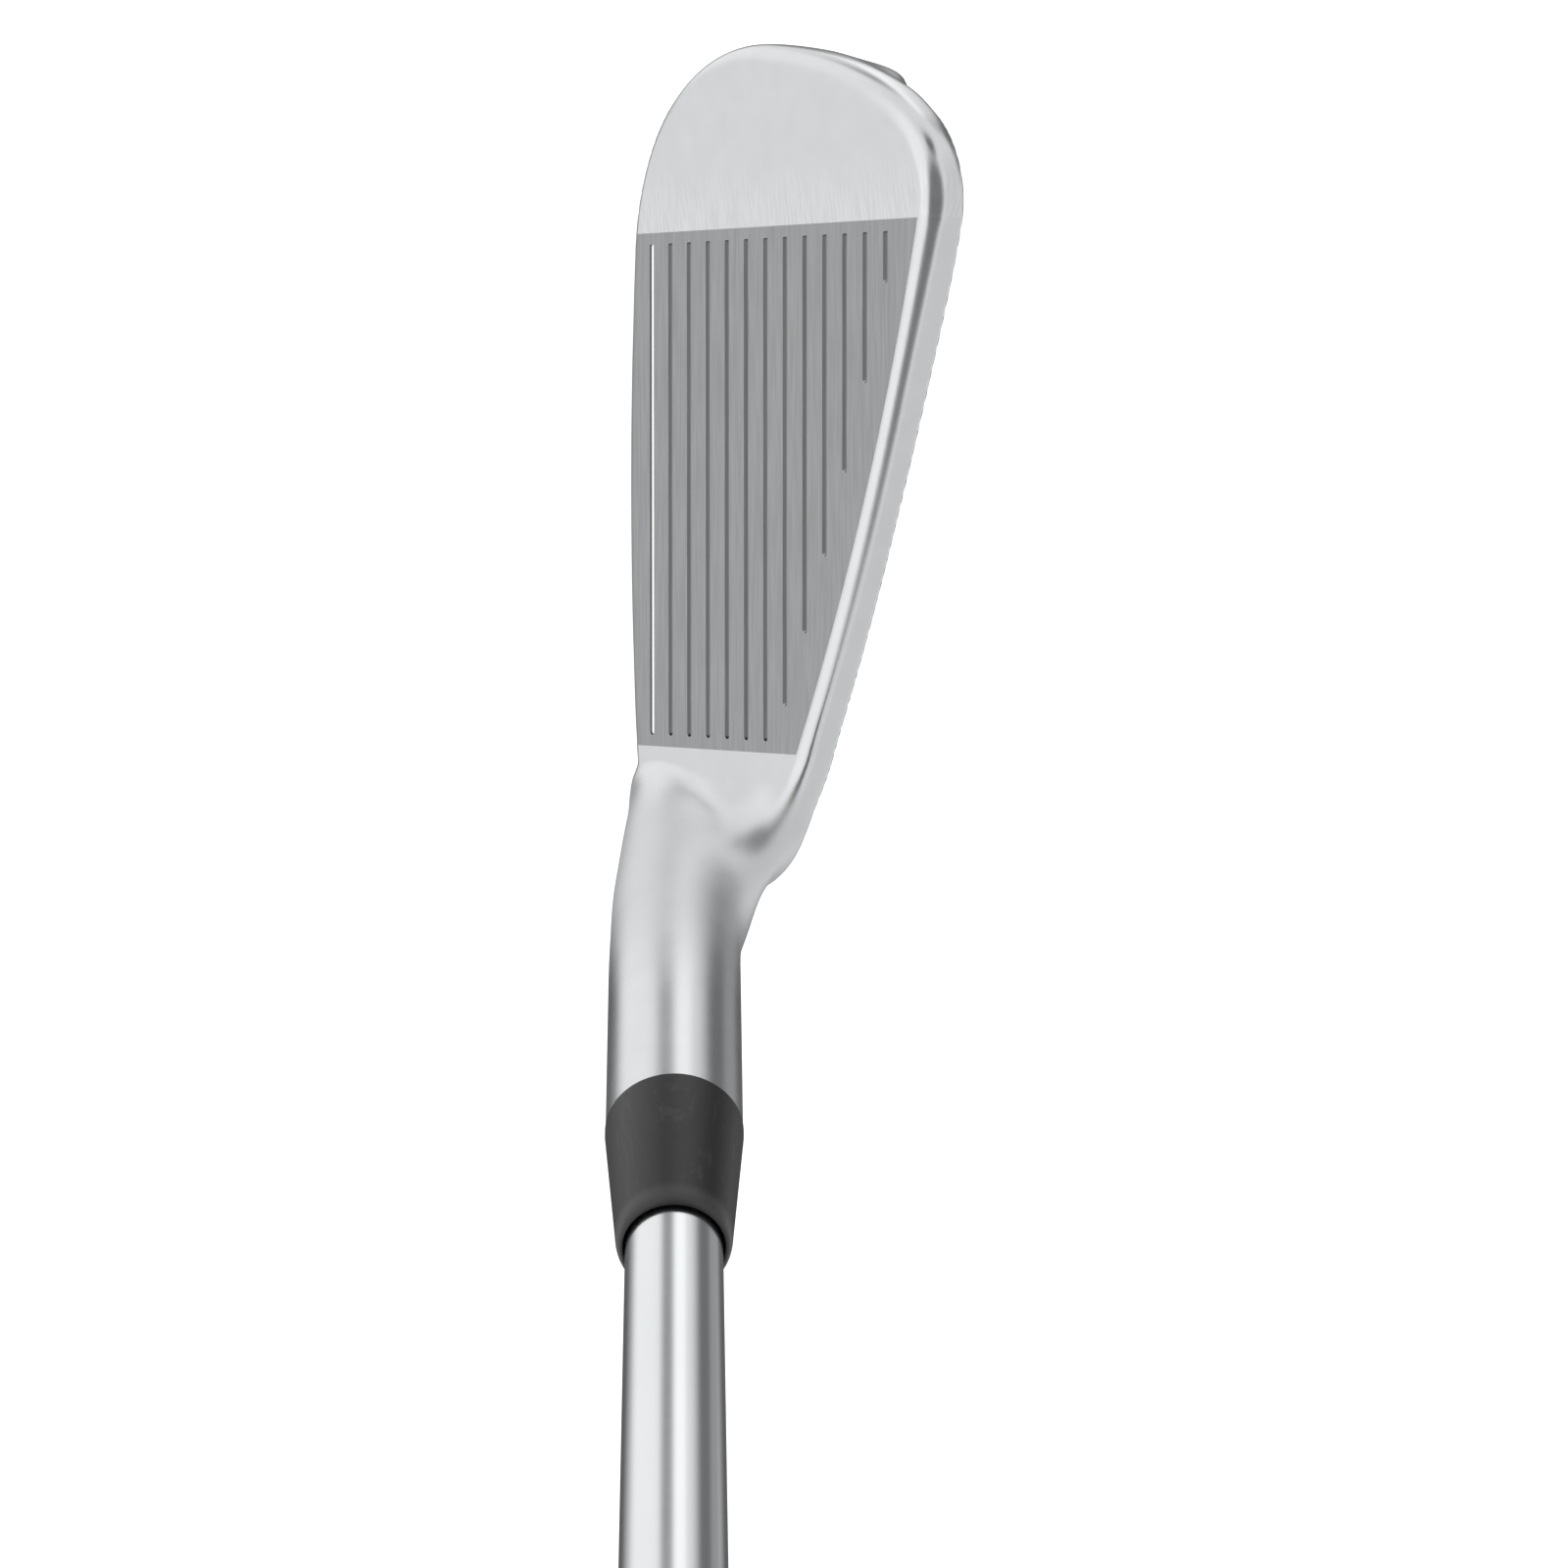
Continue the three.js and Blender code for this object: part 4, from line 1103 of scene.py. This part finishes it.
def make_band(material):
    start, end = BAND
    inside, outside = BUTT_RADIUS + 0.05, BUTT_RADIUS + 0.17
    profile = [(inside, start), (outside - 0.03, start), (outside, start + 0.1)]
    for stripe in (start + 4, end - 5):
        profile += [(outside, stripe), (outside + 0.05, stripe + 0.1), (outside + 0.05, stripe + 0.9)]
        profile += [(outside, stripe + 1)]
    profile += [(outside, end - 0.1), (outside - 0.03, end), (inside, end)]
    return make_turned("shaft_label_band", "shaft_band", profile, 96, material)


def grip_radius(along):
    stations = (GRIP_MOUTH, GRIP_MOUTH + 1.5, GRIP_MOUTH + 105, GRIP_END - 50, GRIP_END - 16, GRIP_END)
    radii = (8.5, 9.0, 9.7, 11.4, 12.5, 13.3)
    return np.interp(along, stations, radii)


def grip_relief(along, turn):
    """Depth of the moulded pattern: crossing spiral grooves in two long fields, rings between them."""
    from_mouth = along - GRIP_MOUTH
    lead = 2 * math.pi / SPIRAL_PITCH
    right = np.abs(np.mod((turn + lead * from_mouth) * SPIRAL_STARTS / (2 * math.pi), 1) - 0.5) * 2
    left = np.abs(np.mod((turn - lead * from_mouth) * SPIRAL_STARTS / (2 * math.pi), 1) - 0.5) * 2
    crossing = np.maximum(ramp(right, 0.74, 0.92), ramp(left, 0.74, 0.92))
    fields = np.zeros_like(crossing)
    for start, end in CROSSED_FIELDS:
        inside = ramp(from_mouth, start, start + 1) * (1 - ramp(from_mouth, end - 1, end))
        fields = np.maximum(fields, inside)
    rings = np.abs(np.mod(from_mouth / RING_PITCH, 1) - 0.5) * 2
    ringed = np.zeros_like(crossing)
    for start, end in RINGED_FIELDS:
        inside = ramp(from_mouth, start, start + 0.3) * (1 - ramp(from_mouth, end - 0.3, end))
        ringed = np.maximum(ringed, inside)
    return SPIRAL_DEPTH * crossing * fields + RING_DEPTH * ramp(rings, 0.6, 0.85) * ringed


def make_grip(material):
    step = 0.8
    count = 252
    along = spread(GRIP_MOUTH, GRIP_END, step)
    turn = np.linspace(0, 2 * math.pi, count, endpoint=False)
    relief = grip_relief(along[:, None], turn[None, :])
    radius = grip_radius(along)[:, None] - relief
    outer = from_shaft(along[:, None], radius, turn[None, :])
    inside = BUTT_RADIUS + 0.35
    inner = turned([(inside, GRIP_END), (inside, GRIP_MOUTH)], count)
    points, faces = loft(np.concatenate([outer, inner]), closed=True)
    return add_mesh("rubber_grip", points, faces, "grip", material, 70)


def make_grip_cap(material):
    foot, seat, vent = GRIP_END + 0.1, BUTT_RADIUS + 0.4, 1.6
    floor = SHAFT_BUTT + 0.1
    outer = [
        (13.3, foot), (13.8, foot + 0.5), (14, foot + 1.3), (14, CLUB_LENGTH - 2), (13.7, CLUB_LENGTH - 1),
        (12.9, CLUB_LENGTH - 0.25), (12.2, CLUB_LENGTH), (11, CLUB_LENGTH), (10.8, CLUB_LENGTH - 0.3),
        (10, CLUB_LENGTH - 0.3), (9.8, CLUB_LENGTH), (4.2, CLUB_LENGTH), (4, CLUB_LENGTH - 0.3),
        (3.2, CLUB_LENGTH - 0.3), (3, CLUB_LENGTH), (vent + 0.3, CLUB_LENGTH), (vent, CLUB_LENGTH - 0.3),
    ]
    inner = [(vent, floor), (seat, floor), (seat, foot)]
    return make_turned("grip_end_cap", "grip_cap", outer + inner, 128, material)


# ---------- stage ----------

FLOOR_SIZE = 12.0
FLOOR_DROP = 0.00005
CAMERA_PLACE = (-3.2, 0.45, 670.69)
CAMERA_TURN = (-2.771, -0.915, 0.003)  # degrees about X, Y and Z, from looking straight down
LENS = 142.09
SENSOR = 36.0


def make_floor():
    half = FLOOR_SIZE / 2
    cells = 12
    line = np.linspace(-half, half, cells + 1)
    points = [(x, y, 0.0) for y in line for x in line]
    faces = []
    for j in range(cells):
        for i in range(cells):
            low = j * (cells + 1) + i
            faces.append((low, low + 1, low + cells + 2, low + cells + 1))
    mesh = bpy.data.meshes.new("pale_floor")
    mesh.from_pydata(points, [], faces)
    floor = bpy.data.objects.new("pale_floor", mesh)
    floor.location.z = -FLOOR_DROP
    bpy.context.scene.collection.objects.link(floor)
    finish = Finish("pale_floor_paint", Roughness=0.9, Specular_IOR_Level=0.1)
    speck = finish.noise(finish.place, 40, 2.0)
    finish.colour(finish.mix(speck, grey(0.86), grey(0.88)))
    finish.shader.inputs["Emission Color"].default_value = grey(1.0)
    finish.shader.inputs["Emission Strength"].default_value = 0.7
    mesh.materials.append(finish.material)
    floor.visible_glossy = False


BACKGROUND_LEVEL = 1.0
STUDIO_LEVEL = 1.0
LIGHT_COLOUR = (0.99, 0.995, 1.0, 1.0)

# Soft boxes and flags round the club, in degrees: bearings run from +Y towards +X, heights from the
# horizon.  Each one is painted over those before it.
SOFT_BOXES = (
    # bearing, half width, edge, height, half height, edge, level
    (0, 181, 1, -90, 34, 26, 0.12),
    (115, 45, 30, 4, 30, 24, 0.82),
    (-90, 42, 26, 22, 28, 20, 1.25),
    (0, 181, 1, 78, 28, 22, 0.24),
    (3, 8, 18, 34, 10, 18, 0.1),
    (-8, 20, 16, -50, 14, 14, 0.95),
    (45, 22, 16, -40, 26, 16, 0.37),
    (-42, 9, 22, -40, 26, 16, 1.14),
    (-9.5, 1.5, 13, -30, 7, 9, 0.37),
    (20, 2, 18, -40, 26, 16, 0.95),
    (9.5, 3, 10, -40, 26, 16, 1.32),
    (47, 4, 10, -42, 26, 16, 0.2),
)


def make_world():
    world = bpy.data.worlds.new("soft_studio")
    bpy.context.scene.world = world
    world.use_nodes = True
    nodes = Nodes(world.node_tree)
    background = nodes.tree.nodes["Background"]
    axes = nodes.node("ShaderNodeSeparateXYZ")
    nodes.link(nodes.node("ShaderNodeTexCoord").outputs["Generated"], axes.inputs[0])
    x, y, z = axes.outputs
    bearing = nodes.math("MULTIPLY", nodes.math("ARCTAN2", x, y), math.degrees(1))
    height = nodes.math("MULTIPLY", nodes.math("ARCSINE", z), math.degrees(1))
    level = STUDIO_LEVEL
    for middle, half, edge, up, half_up, edge_up, target in SOFT_BOXES:
        off = nodes.math("PINGPONG", nodes.math("SUBTRACT", bearing, middle), 180)
        across = nodes.smooth(off, half, half + edge, 1.0, 0.0)
        off_up = nodes.math("ABSOLUTE", nodes.math("SUBTRACT", height, up))
        along = nodes.smooth(off_up, half_up - edge_up / 2, half_up + edge_up / 2, 1.0, 0.0)
        share = nodes.math("MULTIPLY", across, along)
        change = nodes.math("MULTIPLY", share, nodes.math("SUBTRACT", target, level))
        level = nodes.math("ADD", level, change)
    seen = nodes.node("ShaderNodeLightPath").outputs["Is Camera Ray"]
    difference = nodes.math("MULTIPLY", seen, nodes.math("SUBTRACT", BACKGROUND_LEVEL, level))
    nodes.link(nodes.math("ADD", level, difference), background.inputs["Strength"])
    background.inputs["Color"].default_value = LIGHT_COLOUR


def make_camera():
    """Above the head, looking down and leaning a little towards the shaft and the sole side."""
    data = bpy.data.cameras.new("camera")
    camera = bpy.data.objects.new("camera", data)
    bpy.context.scene.collection.objects.link(camera)
    camera.location = Vector(CAMERA_PLACE) * MM
    camera.rotation_euler = [math.radians(turn) for turn in CAMERA_TURN]
    data.sensor_width = SENSOR
    data.lens = LENS
    data.clip_start = 0.01
    data.clip_end = 100
    bpy.context.scene.camera = camera


def make_colour_settings():
    settings = bpy.context.scene.view_settings
    settings.view_transform = "Standard"
    settings.look = "None"


# ---------- everything together ----------

make_colour_settings()
make_camera()
make_world()
make_floor()

chrome = chrome_finish()
rubber = rubber_finish("moulded_rubber", 0.020, 2400)
aluminium = brushed_finish("brushed_aluminium", 0.36, 0.5, 0.28)
gunmetal = brushed_finish("brushed_gunmetal", 0.05, 0.09, 0.34)
tungsten = mottled_finish("tungsten", grey(0.22), grey(0.32), 4000, 0.3, 1.0)
elastomer = rubber_finish("damper_elastomer", 0.024, 3000)
foam = mottled_finish("foam_adhesive", grey(0.62), grey(0.75), 2500, 0.7)

head_pieces = [
    make_head(head_finish()),
    make_face_plate(plate_finish()),
    make_groove_paint(enamel_finish()),
    make_terraced("damper_pad", "cavity_damper", BADGE_CORNERS, DAMPER_LEVELS, elastomer),
    make_terraced("badge_adhesive", "badge_tape", BADGE_CORNERS, TAPE_LEVELS, foam),
    make_terraced("cavity_badge", "badge_plate", BADGE_CORNERS, BADGE_LEVELS, aluminium),
    make_terraced("badge_inlay", "badge_bar", BAR_CORNERS, BAR_LEVELS, gunmetal, BAR_REACH),
    make_toe_weight(tungsten),
    make_sole_weight(tungsten),
]
# The head is lit by the studio alone and doesn't mirror its own face in the hosel.
for piece in head_pieces:
    piece.visible_glossy = False

make_ferrule(ferrule_finish())
make_shaft(chrome)
make_band(mottled_finish("band_film", grey(0.03), grey(0.05), 1500, 0.35))
make_grip(rubber)
make_grip_cap(rubber)

BRASS = ((0.52, 0.38, 0.13, 1), (0.62, 0.47, 0.2, 1))
CORK = ((0.30, 0.17, 0.07, 1), (0.48, 0.31, 0.15, 1))
CREPE = ((0.55, 0.5, 0.36, 1), (0.66, 0.61, 0.47, 1))
CARRIED = {
    "tip_weight": mottled_finish("turned_brass", *BRASS, 3000, 0.3, 1.0),
    "tip_cork": mottled_finish("cork", *CORK, 1400, 0.7),
    "hosel_epoxy": mottled_finish("cured_epoxy", grey(0.3), grey(0.42), 900, 0.3),
    "grip_tape": mottled_finish("paper_tape", *CREPE, 2200, 0.75),
}
for node, finish_material in CARRIED.items():
    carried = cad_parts[node]
    carried.data.materials.clear()
    carried.data.materials.append(finish_material)
